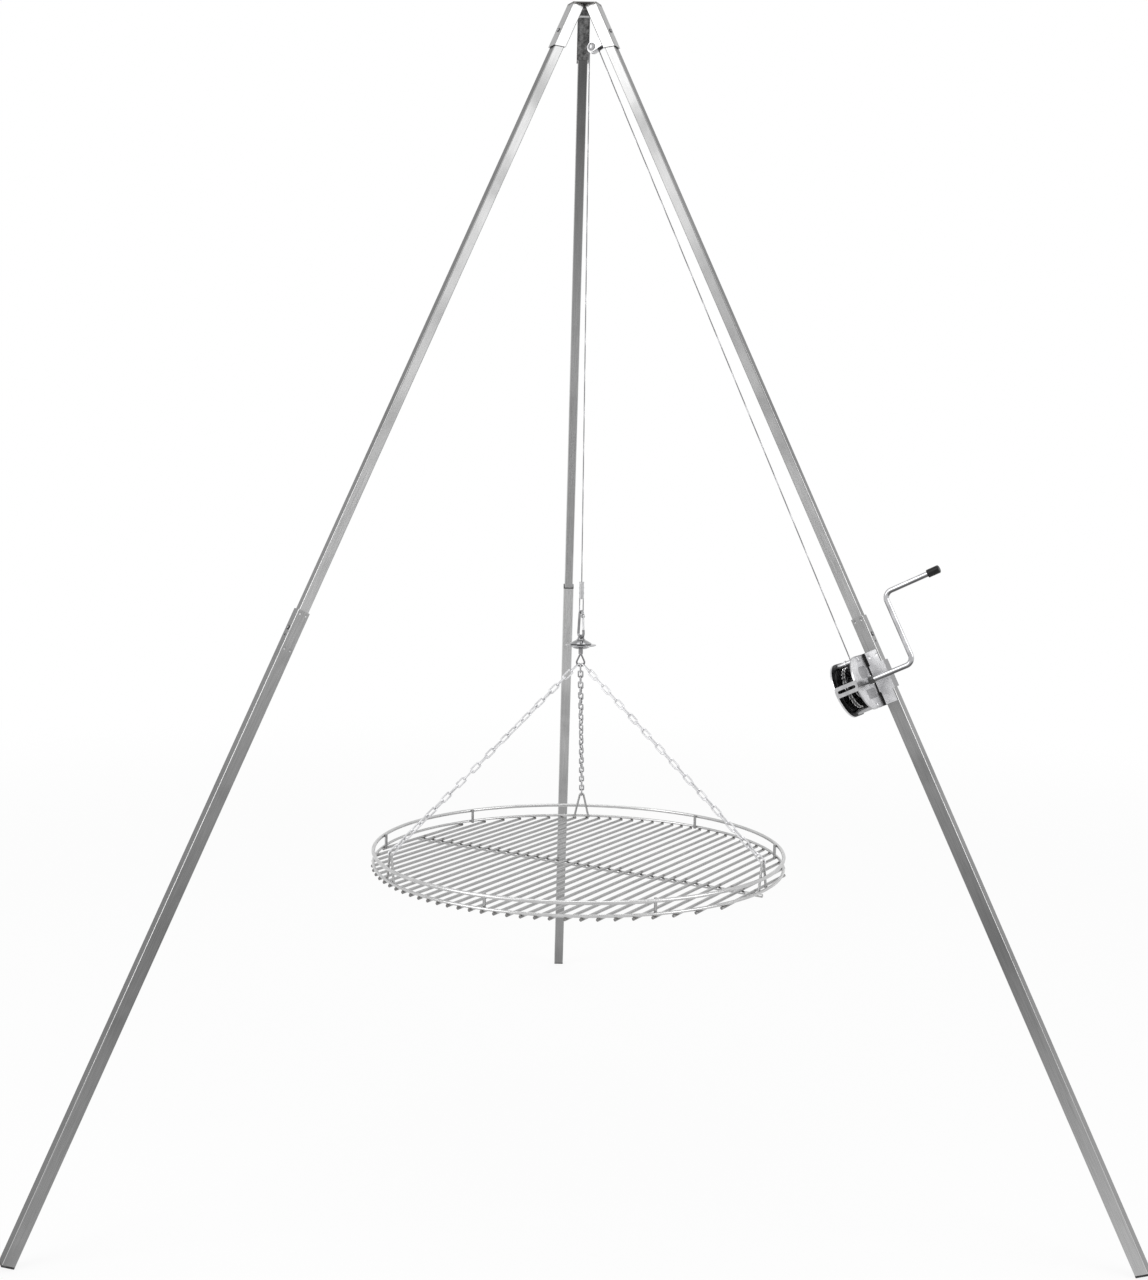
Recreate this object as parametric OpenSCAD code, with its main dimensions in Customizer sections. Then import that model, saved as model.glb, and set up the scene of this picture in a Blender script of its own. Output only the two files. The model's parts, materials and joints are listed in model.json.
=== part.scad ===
// Tripod grill: a round grate hangs on three chains from a rope, under three splayed legs.
// A hand winch on the right leg pulls the rope over a pulley in the hub and lifts the grate.
// Z is up, the rear leg points along +Y and the origin lies on the ground under the middle.

/* [Tripod] */
// Height of the hub's flat top above the ground
tripod_h = 1892; // [1750:1:2050]
// Lean of each leg from upright, in degrees
leg_lean = 26; // [24:0.5:27]
// Distance of each leg's centreline from the tripod's axis, at the hub's flat top
leg_top_r = 15; // [14.5:0.5:15.5]

/* [Leg tubes] */
// Outer width of the square lower tube and of the hub's sleeves
lower_w = 20; // [19:0.5:22]
// Wall of the lower tube and of the hub's sleeves
lower_wall = 1.7; // [1.2:0.1:2]
// Gap on each side between the upper tube and the tube it slides into
tube_gap = 0.3; // [0.2:0.05:0.5]
// Wall of the upper tube
upper_wall = 1.2; // [0.8:0.1:1.6]
// Rounding of the tubes' outer corners
tube_round = 1.6; // [0.8:0.1:2]
// Length of the lower tube
lower_len = 1020; // [900:5:1100]
// How far the upper tube reaches down into the lower tube
tube_overlap = 60; // [54:1:75]
// Depth of the pressed stop dimples
dimple_depth = 0.7; // [0.4:0.1:0.9]
// Width of a pressed stop dimple
dimple_d = 5; // [4:0.5:6]

/* [Feet] */
// Thickness of the foot plug's rim
plug_rim = 3; // [2:0.5:5]
// Length of the foot plug inside the tube
plug_len = 22; // [15:1:35]

/* [Hub] */
// Height of the hub, from its sleeves' level-cut ends to its flat top
hub_h = 73; // [70:1:90]
// Thickness of the plate that closes the hub at the top
hub_cap = 2; // [1.5:0.5:4]
// Space left over the upper tube's top end
hub_stop = 3; // [1:0.5:6]

/* [Spring buttons] */
// Diameter of a spring button
button_d = 7; // [5:0.5:8]
// How far a button stands out of the tube
button_out = 2.5; // [1.5:0.1:3]
// Clearance round a button in its holes
button_gap = 0.3; // [0.2:0.05:0.5]
// Distance of a leg's button below the lower tube's top
leg_button_below = 31; // [26:1:36]
// Spacing of the spare hole below a leg's button
spare_hole_below = 12; // [10:1:15]
// Distance of a hub button below the hub's top, along the leg
hub_button_below = 55.5; // [50:0.5:60]
// Thickness of the spring clip's strip
clip_t = 0.8; // [0.5:0.1:1]
// Width of the spring clip's strip
clip_w = 8; // [7.5:0.5:9]
// Length of the spring clip's arm beyond its button
clip_arm = 16; // [12:1:18]

/* [Winch] */
// Distance of the winch's axis below the lower tube's top, along the leg
winch_below = 96; // [90:1:108]
// Distance of the winch's axis from the leg's centreline, sideways
winch_off = 50; // [48:1:56]
// Thickness of the black pad between the leg and the winch
pad_t = 4; // [3.5:0.5:6]
// Length of the pad and of the saddle's sides, along the leg
pad_len = 84; // [80:1:92]
// Thickness of the winch's side plates
plate_t = 2.5; // [2:0.5:4]
// Radius of the side plates' round end
plate_r = 42; // [40:0.5:45]
// Space between the side plates
plate_space = 30.5; // [27:0.5:36]
// Diameter of the spacer tubes between the plates
spacer_d = 8; // [7:0.5:9]
// Distance of each spacer from the winch's axis, along the leg
spacer_up = 36.5; // [36:0.5:38.5]
// Distance of each spacer from the winch's axis, towards the leg
spacer_in = 10; // [8:0.5:14]
// Diameter of the spacers' screws
screw_d = 4; // [3:0.5:5]
// Width of the tie strap over the drum
strap_w = 16; // [12:1:20]
// Thickness of the tie strap
strap_t = 1.5; // [1:0.5:2]
// Thickness of the black plate behind the drum
back_t = 2; // [1:0.5:2.5]
// Thickness of the saddle's sides
saddle_t = 1.5; // [1:0.5:2]
// Thickness of the saddle's web over the leg's outer face
web_t = 2.2; // [1.5:0.1:3]
// Length of the saddle's web, along the leg
web_len = 44; // [40:1:60]
// Diameter of the bolts that hold the winch to the leg
mount_bolt_d = 5; // [4:0.5:6]
// Distance between the two mounting bolts
mount_bolt_gap = 30; // [24:1:34]

/* [Drum] */
// Radius of the plain core under the rope
core_r = 14; // [12:0.5:16]
// Radius of the plain flanges
flange_r = 32; // [29:0.5:33]
// Radius over the ratchet teeth
ratchet_r = 32; // [29:0.5:32.5]
// Depth of the ratchet teeth
tooth_h = 2.4; // [1.5:0.1:3]
// Number of ratchet teeth
teeth = 24; // [16:1:30]
// Thickness of the plain flange
flange_t = 2.5; // [2:0.5:3]
// Thickness of the toothed flange
ratchet_t = 5; // [3:0.1:6]
// Width of the rope's space on the core
rope_space = 12; // [11.5:0.5:14]
// Number of rope turns in the layer on the core
turns = 3.5; // [1.5:1:3.5]
// Spacing of the rope's turns
turn_pitch = 2.5; // [2.45:0.05:2.6]
// Distance of the leaving rope from the toothed flange, in the layer over the core's
rope_at = 3.2; // [2:0.1:9]

/* [Crank] */
// Diameter of the crank's bent rod
rod_d = 8; // [7:0.5:9]
// Distance of the crank's arm from the leg's centreline, outwards
arm_out = 65; // [55:1:80]
// Length of the crank's arm
arm_len = 110; // [90:1:130]
// Distance of the handle's end from the leg's centreline, outwards
handle_out = 154; // [130:1:175]
// Bend radius of the crank's rod
bend_r = 12; // [9:0.5:16]
// Diameter of the black cap on the handle
cap_d = 12; // [11:0.5:16]
// Length of the cap
cap_len = 18; // [14:1:40]

/* [Rope and pulley] */
// Diameter of the wire rope
rope_d = 2; // [1.5:0.1:2.2]
// Distance of the hanging rope from the tripod's axis, towards the winch leg
hoist_off = 10.5; // [9:0.5:13]
// Height of the pulley's axis below the hub's top
pulley_down = 68; // [64:1:72]
// Radius of the rope's centreline round the pulley
pulley_rope_r = 7; // [6:0.5:8]
// Depth of the pulley's groove outside the rope's centreline
pulley_rim = 2; // [1:0.5:3]
// Width of the pulley's wheel
pulley_w = 9; // [7:0.5:11]
// Diameter of the pulley's bolt
pulley_bolt_d = 5; // [4:0.5:5]
// Thickness of the pulley's bracket
bracket_t = 1.5; // [1:0.25:2.5]

/* [Hook] */
// Height of the ferrule's top above the ground
ferrule_z = 960; // [900:5:1010]
// Length of the ferrule
ferrule_len = 29; // [20:1:36]
// Diameter of the ferrule
ferrule_d = 8.5; // [7:0.5:11]
// Distance from the ferrule to the hook's top wire
loop_len = 20.5; // [16:0.5:30]
// Length of the snap hook over all
hook_len = 49; // [44:1:60]
// Thickness of the snap hook's wire
hook_d = 4.5; // [4:0.1:5]
// Radius of the snap hook's narrow end, at its centreline
hook_top_r = 5; // [4.8:0.1:6]
// Radius of the snap hook's wide end, at its centreline
hook_bottom_r = 8; // [7.5:0.1:9]
// Turn of the snap hook's plane about the rope, in degrees
hook_turn = 120; // [90:5:150]
// Thickness of the eye on the swivel
eye_d = 3; // [2.4:0.1:3.4]

/* [Swivel] */
// Diameter of the swivel's rim
swivel_rim_d = 52; // [46:1:60]
// Diameter of the swivel's body
swivel_d = 36; // [32:1:42]
// Length of the neck under the swivel
neck_len = 9; // [6:1:14]
// Radius of the chain ring's round end, at its centreline
chain_ring_r = 6.5; // [6.5:0.1:8.5]
// Thickness of the chain ring's wire
chain_ring_d = 3; // [2.6:0.1:3.2]

/* [Chains] */
// Inner length of a chain link
link_len = 17.5; // [17:0.1:19]
// Inner width of a chain link
link_in = 4.6; // [4.4:0.1:5.4]
// Thickness of a chain link's wire
link_d = 2.8; // [2.4:0.1:2.9]
// Number of links in each chain
links = 26; // [22:2:28]
// Gap between linked wires
link_gap = 0.2; // [0.15:0.05:0.35]

/* [Grate] */
// Diameter of the grate over its rings
grate_d = 700; // [620:10:740]
// Thickness of the upper ring's wire
upper_ring_d = 6; // [5:0.5:8]
// Thickness of the lower ring's wire
lower_ring_d = 5; // [4:0.5:7]
// Height between the middles of the two rings
ring_rise = 20; // [16:1:30]
// Thickness of the grill bars
bar_d = 5; // [4:0.5:6]
// Spacing of the grill bars
bar_pitch = 20.5; // [15:0.5:26]
// Thickness of the cross bar under the grill bars
cross_d = 6; // [5:0.5:8]
// Thickness of the posts between the rings
post_d = 5; // [4:0.5:6]
// Thickness of the hangers' wire
hanger_d = 4; // [3:0.5:5]
// Height of a hanger's top over the lower ring's middle
hanger_h = 44.5; // [36:0.5:60]
// Distance between a hanger's feet
hanger_w = 28; // [22:1:40]
// Turn of the grate against the legs, in degrees
grate_turn = -3; // [-8:1:8]

/* [Hidden] */
$fn = 48;

seat = 0.1;        // gap between pieces that are welded or pressed together
run_gap = 0.05;    // radial clearance of a running fit
part_gap = 0.3;    // gap between a moving piece and its neighbour
joint_r = 0.02;    // how far the round joint inside a bent wire stands over its surface
over = 1;          // how far a cut runs past a face

az_rear = 90;
az_left = 210;
az_right = 330;
leg_azs = [az_rear, az_left, az_right];

steel_colour = [0.70, 0.71, 0.72];
zinc_colour = [0.80, 0.81, 0.82];
dark_colour = [0.12, 0.12, 0.13];
rope_colour = [0.62, 0.63, 0.64];

// Leg geometry: a leg's own frame has its origin in the middle of the foot plug's end face,
// X outwards square to the leg, Y sideways and Z up along the leg.
foot_z = lower_w / 2 * sin(leg_lean);
foot_r = leg_top_r + (tripod_h - foot_z) * tan(leg_lean);
leg_len = (tripod_h - foot_z) / cos(leg_lean);
foot_edge_r = foot_r + lower_w / 2 * cos(leg_lean);
front_y = -foot_edge_r * cos(60) - lower_w / 2 * sin(60);
axis_y = -(foot_edge_r + front_y) / 2;

lower_in = lower_w - 2 * lower_wall;
upper_w = lower_in - 2 * tube_gap;
upper_in = upper_w - 2 * upper_wall;
lower_top = lower_len + plug_rim;
upper_bottom = lower_top - tube_overlap;
upper_top = (tripod_h - hub_cap - foot_z) / cos(leg_lean) - upper_w / 2 * tan(leg_lean) - hub_stop;
leg_button_s = lower_top - leg_button_below;
hub_button_s = leg_len - hub_button_below;
button_hole_r = button_d / 2 + button_gap;
button_tip = lower_w / 2 + button_out;
clip_face = upper_in / 2 - part_gap;
clip_out = clip_face - clip_t;
sleeve_end_z = tripod_h - hub_h;

// Winch geometry: the winch's own frame has X outwards along its axis, as the leg's frame.
winch_s = lower_top - winch_below;
plate_outer_x = -lower_w / 2 - pad_t;
plate_inner_x = plate_outer_x - plate_t - plate_space;
drum_a = plate_outer_x - plate_t - part_gap;
drum_b = drum_a - flange_t - rope_space;
drum_c = drum_b - ratchet_t;
drum_end = plate_inner_x + part_gap;
coil_r = core_r + rope_d / 2 + seat;
coil_x0 = drum_b + rope_d / 2 + part_gap;
lay_r = coil_r + rope_d + part_gap;
run_x = drum_b + rope_at;
back_y = winch_off - lower_w / 2 - 6;
back_half = plate_r - 4;
ear_deep = 1.2;
ear_w = 10;
ear_up = 22;
bolt_head_h = 3.2;
bolt_head_d = 8.5;
hub_r = 9;
rod_r = rod_d / 2;
rod_end_x = plate_inner_x - plate_t - 7;
collar_x = plate_outer_x + strap_t + 5;
collar_len = 8;
pin_d = 2.4;

// Pulley and hoist geometry
pulley_z = tripod_h - pulley_down;
pulley_r = hoist_off + pulley_rope_r;
pulley_x = (pulley_r - foot_r) * cos(leg_lean) + (pulley_z - foot_z) * sin(leg_lean);
pulley_s = -(pulley_r - foot_r) * sin(leg_lean) + (pulley_z - foot_z) * cos(leg_lean);
groove_r = pulley_rope_r - rope_d / 2 - part_gap;
wheel_r = pulley_rope_r + pulley_rim;
cheek_in = pulley_w / 2 + part_gap;
cheek_r = 8;
hoist_x = hoist_off * cos(az_right);
hoist_y = axis_y + hoist_off * sin(az_right);
lead_len = 6;
drop_top = pulley_z - 3 * part_gap - 2 * lead_len;

hook_z = ferrule_z - ferrule_len - loop_len;
loop_r = hook_d / 2 + rope_d / 2 + part_gap;
hook_span = hook_len - hook_d - hook_top_r - hook_bottom_r;
hook_taper = asin((hook_bottom_r - hook_top_r) / hook_span);
hook_bottom_z = hook_z - hook_len + hook_d;
eye_r = hook_d / 2 + eye_d / 2 + 1.4;
eye_z = hook_bottom_z + hook_d / 2 + eye_d / 2 + part_gap - eye_r;
cap_top_z = hook_bottom_z - hook_d / 2 - part_gap;
cap_h = 8.2;
cap_bottom_z = cap_top_z - cap_h;
rim_t = 2;
saucer_h = 7.5;
neck_top_z = cap_bottom_z - part_gap - saucer_h;
neck_bottom_z = neck_top_z - neck_len;
ring_drop = 2.4 * chain_ring_r;
ring_z = neck_bottom_z + 1.5 - ring_drop;
ring_taper = acos(chain_ring_r / ring_drop);
ring_side = 50;

// Grate geometry
ring_r = (grate_d - upper_ring_d) / 2;
lower_ring_r = ring_r;
hanger_foot_r = ring_r - max(upper_ring_d, lower_ring_d) / 2 - hanger_d / 2 - seat;
hanger_r = sqrt(pow(hanger_foot_r, 2) - pow(hanger_w / 2, 2));
chain_span = (links - 1) * (link_len - link_gap) + link_len
    - (chain_ring_d + hanger_d) / 2 - 2 * link_gap;
hanger_top_z = ring_z - chain_ring_r - sqrt(chain_span * chain_span - hanger_r * hanger_r);
grate_z = hanger_top_z - hanger_h;
bar_z = grate_z - lower_ring_d / 2 - bar_d / 2 - seat;
cross_z = bar_z - bar_d / 2 - cross_d / 2 - seat;
bar_reach = lower_ring_r + 2;
hanger_azs = [az_left + grate_turn, az_right + grate_turn, az_rear + grate_turn];
bar_turn = hanger_azs[1] + 90;
ring_plane = hanger_azs[2] - 90;

// Places in the whole part's frame
function leg_point(az, p) =
    let (out = foot_r + p[0] * cos(leg_lean) - p[2] * sin(leg_lean))
    [out * cos(az) - p[1] * sin(az),
     axis_y + out * sin(az) + p[1] * cos(az),
     foot_z + p[0] * sin(leg_lean) + p[2] * cos(leg_lean)];
function leg_outward(az) = [cos(leg_lean) * cos(az), cos(leg_lean) * sin(az), sin(leg_lean)];
function unit(v) = v / norm(v);

module in_leg(az)
    translate([foot_r * cos(az), axis_y + foot_r * sin(az), foot_z])
        rotate([0, -leg_lean, az]) children();

module in_winch() in_leg(az_right) translate([0, -winch_off, winch_s]) children();

module in_hoist(z) translate([hoist_x, hoist_y, z]) children();

// A cylinder along X from x0 to x1
module rod_x(x0, x1, r) translate([x0, 0, 0]) rotate([0, 90, 0]) cylinder(h = x1 - x0, r = r);

// A cylinder along Y from y0 to y1
module rod_y(y0, y1, r) translate([0, y1, 0]) rotate([90, 0, 0]) cylinder(h = y1 - y0, r = r);

// A flat outline in the winch's Y and Z, given thickness along X
module plate_x(x0, t) translate([x0, 0, 0]) rotate([90, 0, 90]) linear_extrude(t) children();

module rounded_square(w, r) {
    square([w - 2 * r, w], center = true);
    square([w, w - 2 * r], center = true);
    for (sx = [-1, 1], sy = [-1, 1])
        translate([sx * (w / 2 - r), sy * (w / 2 - r)]) circle(r);
}

// A part of a round ring: bend radius r, wire radius wire, from angle a0 over the given sweep
module bend(r, wire, a0, sweep)
    rotate([0, 0, a0]) rotate_extrude(angle = sweep) translate([r, 0]) circle(wire);

module square_tube(w, wall, s0, s1) {
    translate([0, 0, s0]) linear_extrude(s1 - s0) difference() {
        rounded_square(w, tube_round);
        square(w - 2 * wall, center = true);
    }
}

// Two dimples pressed side by side into both side faces
module dimple_pair(w, s) {
    ball_r = (dimple_d * dimple_d / 4 + dimple_depth * dimple_depth) / (2 * dimple_depth);
    for (side = [-1, 1], x = [-1, 1])
        translate([x * w / 4, side * (w / 2 + ball_r - dimple_depth), s]) sphere(ball_r);
}

// All the space between two heights
module between(z0, z1) {
    big = 3 * tripod_h;
    translate([-big / 2, -big / 2, z0]) cube([big, big, z1 - z0]);
}

module hub() {
    sleeve_over = 40;
    sleeve_from = (sleeve_end_z - foot_z) / cos(leg_lean) - sleeve_over;
    sleeve_run = hub_h / cos(leg_lean) + 2 * sleeve_over;
    plate_reach = leg_top_r + lower_w / 2 / cos(leg_lean);
    plate_half = lower_w / 2 - tube_round;
    color(steel_colour) difference() {
        union() {
            intersection() {
                union() for (az = leg_azs) in_leg(az) translate([0, 0, sleeve_from])
                    linear_extrude(sleeve_run) rounded_square(lower_w, tube_round);
                between(sleeve_end_z, tripod_h);
            }
            translate([0, axis_y, tripod_h - hub_cap]) linear_extrude(hub_cap)
                polygon([for (az = leg_azs, side = [-1, 1])
                    [plate_reach * cos(az) - side * plate_half * sin(az),
                     plate_reach * sin(az) + side * plate_half * cos(az)]]);
        }
        intersection() {
            union() for (az = leg_azs) in_leg(az) translate([0, 0, sleeve_from])
                linear_extrude(sleeve_run) square(lower_in, center = true);
            between(sleeve_end_z - over, tripod_h - hub_cap);
        }
        for (az = leg_azs) in_leg(az)
            translate([0, 0, hub_button_s]) rod_x(0, lower_w, button_hole_r);
    }
}

module upper_leg(az) {
    color(steel_colour) in_leg(az) difference() {
        square_tube(upper_w, upper_wall, upper_bottom, upper_top);
        for (s = [leg_button_s, hub_button_s])
            translate([0, 0, s]) rod_x(0, upper_w, button_hole_r);
    }
}

module lower_leg(az) {
    color(steel_colour) in_leg(az) difference() {
        square_tube(lower_w, lower_wall, plug_rim, lower_top);
        for (s = [leg_button_s, leg_button_s - spare_hole_below])
            translate([0, 0, s])
                rod_x(0, lower_w, s == leg_button_s ? button_hole_r : button_d / 4);
        dimple_pair(lower_w, lower_top - dimple_d);
        dimple_pair(lower_w, upper_bottom - dimple_d / 2);
        if (az == az_right) mount_bolt_places() rod_x(-lower_w, 0, mount_bolt_d / 2 + seat);
    }
}

module foot_plug(az) {
    color(dark_colour) in_leg(az) {
        linear_extrude(plug_rim) rounded_square(lower_w, tube_round);
        linear_extrude(plug_rim + plug_len) square(lower_in - 2 * seat, center = true);
    }
}

// Fixed part of a bent spring clip: the far arm and the bend; way is 1 where the bend is above
module spring_clip(s, way) {
    bend_in = clip_out;
    color(zinc_colour) translate([0, 0, s]) {
        translate([-clip_face, -clip_w / 2, way > 0 ? -clip_arm / 2 : -clip_arm])
            cube([clip_t, clip_w, clip_arm * 1.5]);
        translate([0, 0, way * clip_arm]) rotate([90, 0, 0])
            rotate([0, 0, way > 0 ? 0 : 180])
                translate([0, 0, -clip_w / 2]) rotate_extrude(angle = 180)
                    translate([bend_in, 0]) square([clip_t, clip_w]);
    }
}

module hub_spring_clips() for (az = leg_azs) in_leg(az) spring_clip(hub_button_s, -1);

module leg_spring_clips() for (az = leg_azs) in_leg(az) spring_clip(leg_button_s, 1);

// A button with the near arm of its spring clip
module spring_button(az, s, way) {
    dome_h = button_d / 5;
    dome_r = (button_d * button_d / 4 + dome_h * dome_h) / (2 * dome_h);
    arm_root = clip_arm - part_gap;
    arm_free = button_d / 2 + 1;
    color(zinc_colour) in_leg(az) translate([0, 0, s]) {
        rotate([0, 90, 0]) rotate_extrude() intersection() {
            translate([0, button_tip - dome_r]) circle(dome_r, $fn = 96);
            translate([0, clip_face]) square([button_d / 2, button_tip - clip_face]);
        }
        translate([clip_out, -clip_w / 2, way > 0 ? -arm_free : -arm_root])
            cube([clip_t, clip_w, arm_free + arm_root]);
    }
}

module winch_saddle() {
    wing_len = pad_len / 2;
    wing_out = 2;
    inner = lower_w / 2 + seat;
    outer = inner + saddle_t;
    side_len = pad_len - 1;
    color(zinc_colour) in_leg(az_right) difference() {
        union() {
            translate([0, -outer, winch_s - web_len / 2]) cube([inner + web_t, 2 * outer, web_len]);
            for (side = [-1, 1]) translate([-lower_w / 2, side > 0 ? inner : -outer, winch_s]) {
                translate([0, 0, -side_len / 2]) cube([lower_w - tube_round, saddle_t, side_len]);
                translate([-wing_out, 0, -wing_len / 2]) cube([wing_out + over, saddle_t, wing_len]);
            }
        }
        translate([-lower_w, -inner, winch_s - pad_len])
            cube([lower_w + inner, 2 * inner, 2 * pad_len]);
        dimple_pair(2 * outer, upper_bottom - dimple_d / 2);
    }
}

module winch_pad() {
    wing_room = pad_len / 2 + 2;
    wing_deep = 2.4;
    pad_w = lower_w + 2 * saddle_t;
    color(dark_colour) in_leg(az_right) difference() {
        translate([-lower_w / 2 - pad_t, -pad_w / 2, winch_s - pad_len / 2])
            cube([pad_t, pad_w, pad_len]);
        for (side = [-1, 1])
            translate([-lower_w / 2 - wing_deep, side > 0 ? lower_w / 2 - seat : -pad_w / 2 - over,
                       winch_s - wing_room / 2])
                cube([pad_t, saddle_t + over + seat, wing_room]);
        mount_bolt_places() rod_x(-lower_w, 0, mount_bolt_d / 2 + seat);
    }
}

// Outline of a side plate: a round end about the axis and a straight end towards the leg
module plate_outline(reach) {
    corner = 4;
    circle(plate_r, $fn = 96);
    translate([0, -plate_r]) square([reach - corner, 2 * plate_r]);
    translate([0, -plate_r + corner]) square([reach, 2 * plate_r - 2 * corner]);
    for (side = [-1, 1]) translate([reach - corner, side * (plate_r - corner)]) circle(corner);
}

module mount_bolt_places() for (side = [-1, 1])
    translate([0, 0, winch_s + side * mount_bolt_gap / 2]) children();

module spacer_places() for (side = [-1, 1]) translate([0, spacer_in, side * spacer_up]) children();

module winch_plate_outer() {
    dish_depth = 0.6;
    dish_r = 9.5;
    dish_half = 10;
    dish_at = [9, 15.5];
    panel = [40, 15];
    panel_at = [9, -18.5];
    color(zinc_colour) in_winch() difference() {
        plate_x(plate_outer_x - plate_t, plate_t) plate_outline(winch_off + lower_w / 2);
        rod_x(-2 * plate_space, 0, rod_r + run_gap);
        spacer_places() rod_x(-2 * plate_space, 0, screw_d / 2 + seat);
        translate([0, winch_off, -winch_s]) mount_bolt_places()
            rod_x(-2 * plate_space, 0, mount_bolt_d / 2 + seat);
        ear_places(seat);
        plate_x(plate_outer_x - dish_depth, plate_t) {
            translate([dish_at[0] - dish_half, dish_at[1]]) circle(dish_r);
            translate([dish_at[0] + dish_half, dish_at[1]]) circle(dish_r);
            translate(dish_at) square([2 * dish_half, 2 * dish_r], center = true);
            translate(panel_at) square(panel, center = true);
        }
    }
}

module winch_plate_inner() {
    color(zinc_colour) in_winch() difference() {
        plate_x(plate_inner_x - plate_t, plate_t) plate_outline(winch_off - lower_w / 2 - 3);
        rod_x(-3 * plate_space, 0, rod_r + run_gap);
        spacer_places() rod_x(-3 * plate_space, 0, screw_d / 2 + seat);
        ear_places(seat);
    }
}

module winch_spacers() {
    color(zinc_colour) in_winch() spacer_places() difference() {
        rod_x(plate_inner_x, plate_outer_x - plate_t, spacer_d / 2);
        rod_x(plate_inner_x - over, plate_outer_x, screw_d / 2 + seat);
    }
}

module winch_screws() {
    head_r = screw_d * 0.95;
    head_h = 2.4;
    screw_len = 12;
    color(zinc_colour) in_winch() spacer_places() {
        rod_x(plate_outer_x, plate_outer_x + head_h, head_r);
        rod_x(plate_outer_x - screw_len, plate_outer_x + seat, screw_d / 2);
        rod_x(plate_inner_x - plate_t - head_h, plate_inner_x - plate_t, head_r);
        rod_x(plate_inner_x - plate_t - seat, plate_inner_x - plate_t + screw_len, screw_d / 2);
    }
}

// Slotted strap from the inner plate's edge over the round end, with a narrow leg down the outer plate
module winch_strap() {
    leg_w = 7;
    leg_reach = plate_r - rod_r;
    corner = 3;
    slot_r = 2.4;
    grip = 1;
    x0 = plate_inner_x - grip;
    x1 = plate_outer_x + strap_t;
    mid = (x0 + x1) / 2;
    slot_half = (x1 - x0) / 2 - 2.5 * slot_r;
    y0 = -plate_r - seat - strap_t;
    color(zinc_colour) in_winch() difference() {
        union() {
            rotate([90, 0, 0]) translate([0, 0, -y0 - strap_t]) linear_extrude(strap_t) {
                translate([x0 + corner, -strap_w / 2]) square([x1 - x0 - corner, strap_w]);
                translate([x0, corner - strap_w / 2]) square([2 * corner, strap_w - 2 * corner]);
                for (side = [-1, 1]) translate([x0 + corner, side * (strap_w / 2 - corner)]) circle(corner);
            }
            translate([plate_outer_x, y0, -leg_w / 2]) cube([strap_t, leg_reach, leg_w]);
        }
        for (side = [-1, 1]) translate([mid + side * slot_half, 0, 0])
            rod_y(-2 * plate_r, -plate_r / 2, slot_r);
        translate([mid - slot_half, -2 * plate_r, -slot_r])
            cube([2 * slot_half, 1.5 * plate_r, 2 * slot_r]);
    }
}

// Places of the back plate's ears, in height and across the winch
module ear_places(gap) for (side = [-1, 1], x = [plate_inner_x, plate_outer_x - plate_t])
    translate([x - ear_deep - gap, back_y - gap, side * ear_up - ear_w / 2 - gap])
        cube([2 * (ear_deep + gap), back_t + 2 * gap, ear_w + 2 * gap]);

// Black plate behind the drum; its ears sit in blind slots in the side plates
module winch_back() {
    x0 = plate_inner_x + seat;
    x1 = plate_outer_x - plate_t - seat;
    color(dark_colour) in_winch() {
        translate([x0, back_y, -back_half]) cube([x1 - x0, back_t, 2 * back_half]);
        ear_places(0);
    }
}

module winch_mount_bolts() {
    bolt_past = 5;
    tip = lower_wall - lower_w / 2 + bolt_past;
    head_x = plate_outer_x - plate_t;
    color(zinc_colour) in_leg(az_right) mount_bolt_places() {
        rod_x(head_x - bolt_head_h, head_x, bolt_head_d / 2);
        rod_x(head_x - seat, tip, mount_bolt_d / 2);
    }
}

// One ratchet tooth's flank pair, worked out point by point round the wheel
function ratchet_points(r, h, n) = [for (i = [0:n - 1], k = [0, 1])
    let (a = (i + k * 0.82) * 360 / n, q = k == 0 ? r - h : r) [q * cos(a), q * sin(a)]];

module drum() {
    end_flange_t = 2;
    color(dark_colour) in_winch() difference() {
        union() {
            rod_x(drum_a - flange_t, drum_a, flange_r);
            rod_x(drum_b - over, drum_a - over, core_r);
            plate_x(drum_c, ratchet_t) polygon(ratchet_points(ratchet_r, tooth_h, teeth));
            rod_x(drum_end, drum_c + over, hub_r);
            rod_x(drum_end, drum_end + end_flange_t, flange_r);
        }
        rod_x(drum_end - over, drum_a + over, rod_r + seat);
        for (a = [0:60:300]) rotate([a, 0, 0]) translate([0, (core_r + flange_r) / 2 + 1, 0])
            rod_x(drum_a - 2 * flange_t, drum_a + over, 3.4);
    }
}

// The rope on the drum's core: one unbroken tube
coil_steps = 24;
coil_sides = 6;
coil_rope_r = rope_d / 2 - 0.02;
coil_start = 180;
function coil_point(a) = [coil_x0 + turn_pitch * a / 360,
    coil_r * cos(coil_start + a), coil_r * sin(coil_start + a)];
coil_curve = [for (i = [0:round(coil_steps * turns)]) coil_point(i * 360 / coil_steps)];

function path_dir(p, i) = unit(p[min(i + 1, len(p) - 1)] - p[max(i - 1, 0)]);
function tube_points(p, r, n) = [for (i = [0:len(p) - 1], k = [0:n - 1])
    let (d = path_dir(p, i), side = unit(cross([1, 0, 0], d)), up = cross(d, side))
    p[i] + r * (cos(360 * k / n) * side + sin(360 * k / n) * up)];
function tube_faces(m, n) = concat(
    [for (k = [1:n - 2]) [0, k + 1, k]],
    [for (i = [0:m - 2], k = [0:n - 1], h = [0, 1]) let (a = i * n, b = (k + 1) % n)
        h == 0 ? [a + k, a + b, a + n + b] : [a + k, a + n + b, a + n + k]],
    [for (k = [1:n - 2]) let (e = (m - 1) * n) [e, e + k, e + k + 1]]);

module rope_coil() color(rope_colour) in_winch()
    polyhedron(tube_points(coil_curve, coil_rope_r, coil_sides),
        tube_faces(len(coil_curve), coil_sides));

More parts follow.
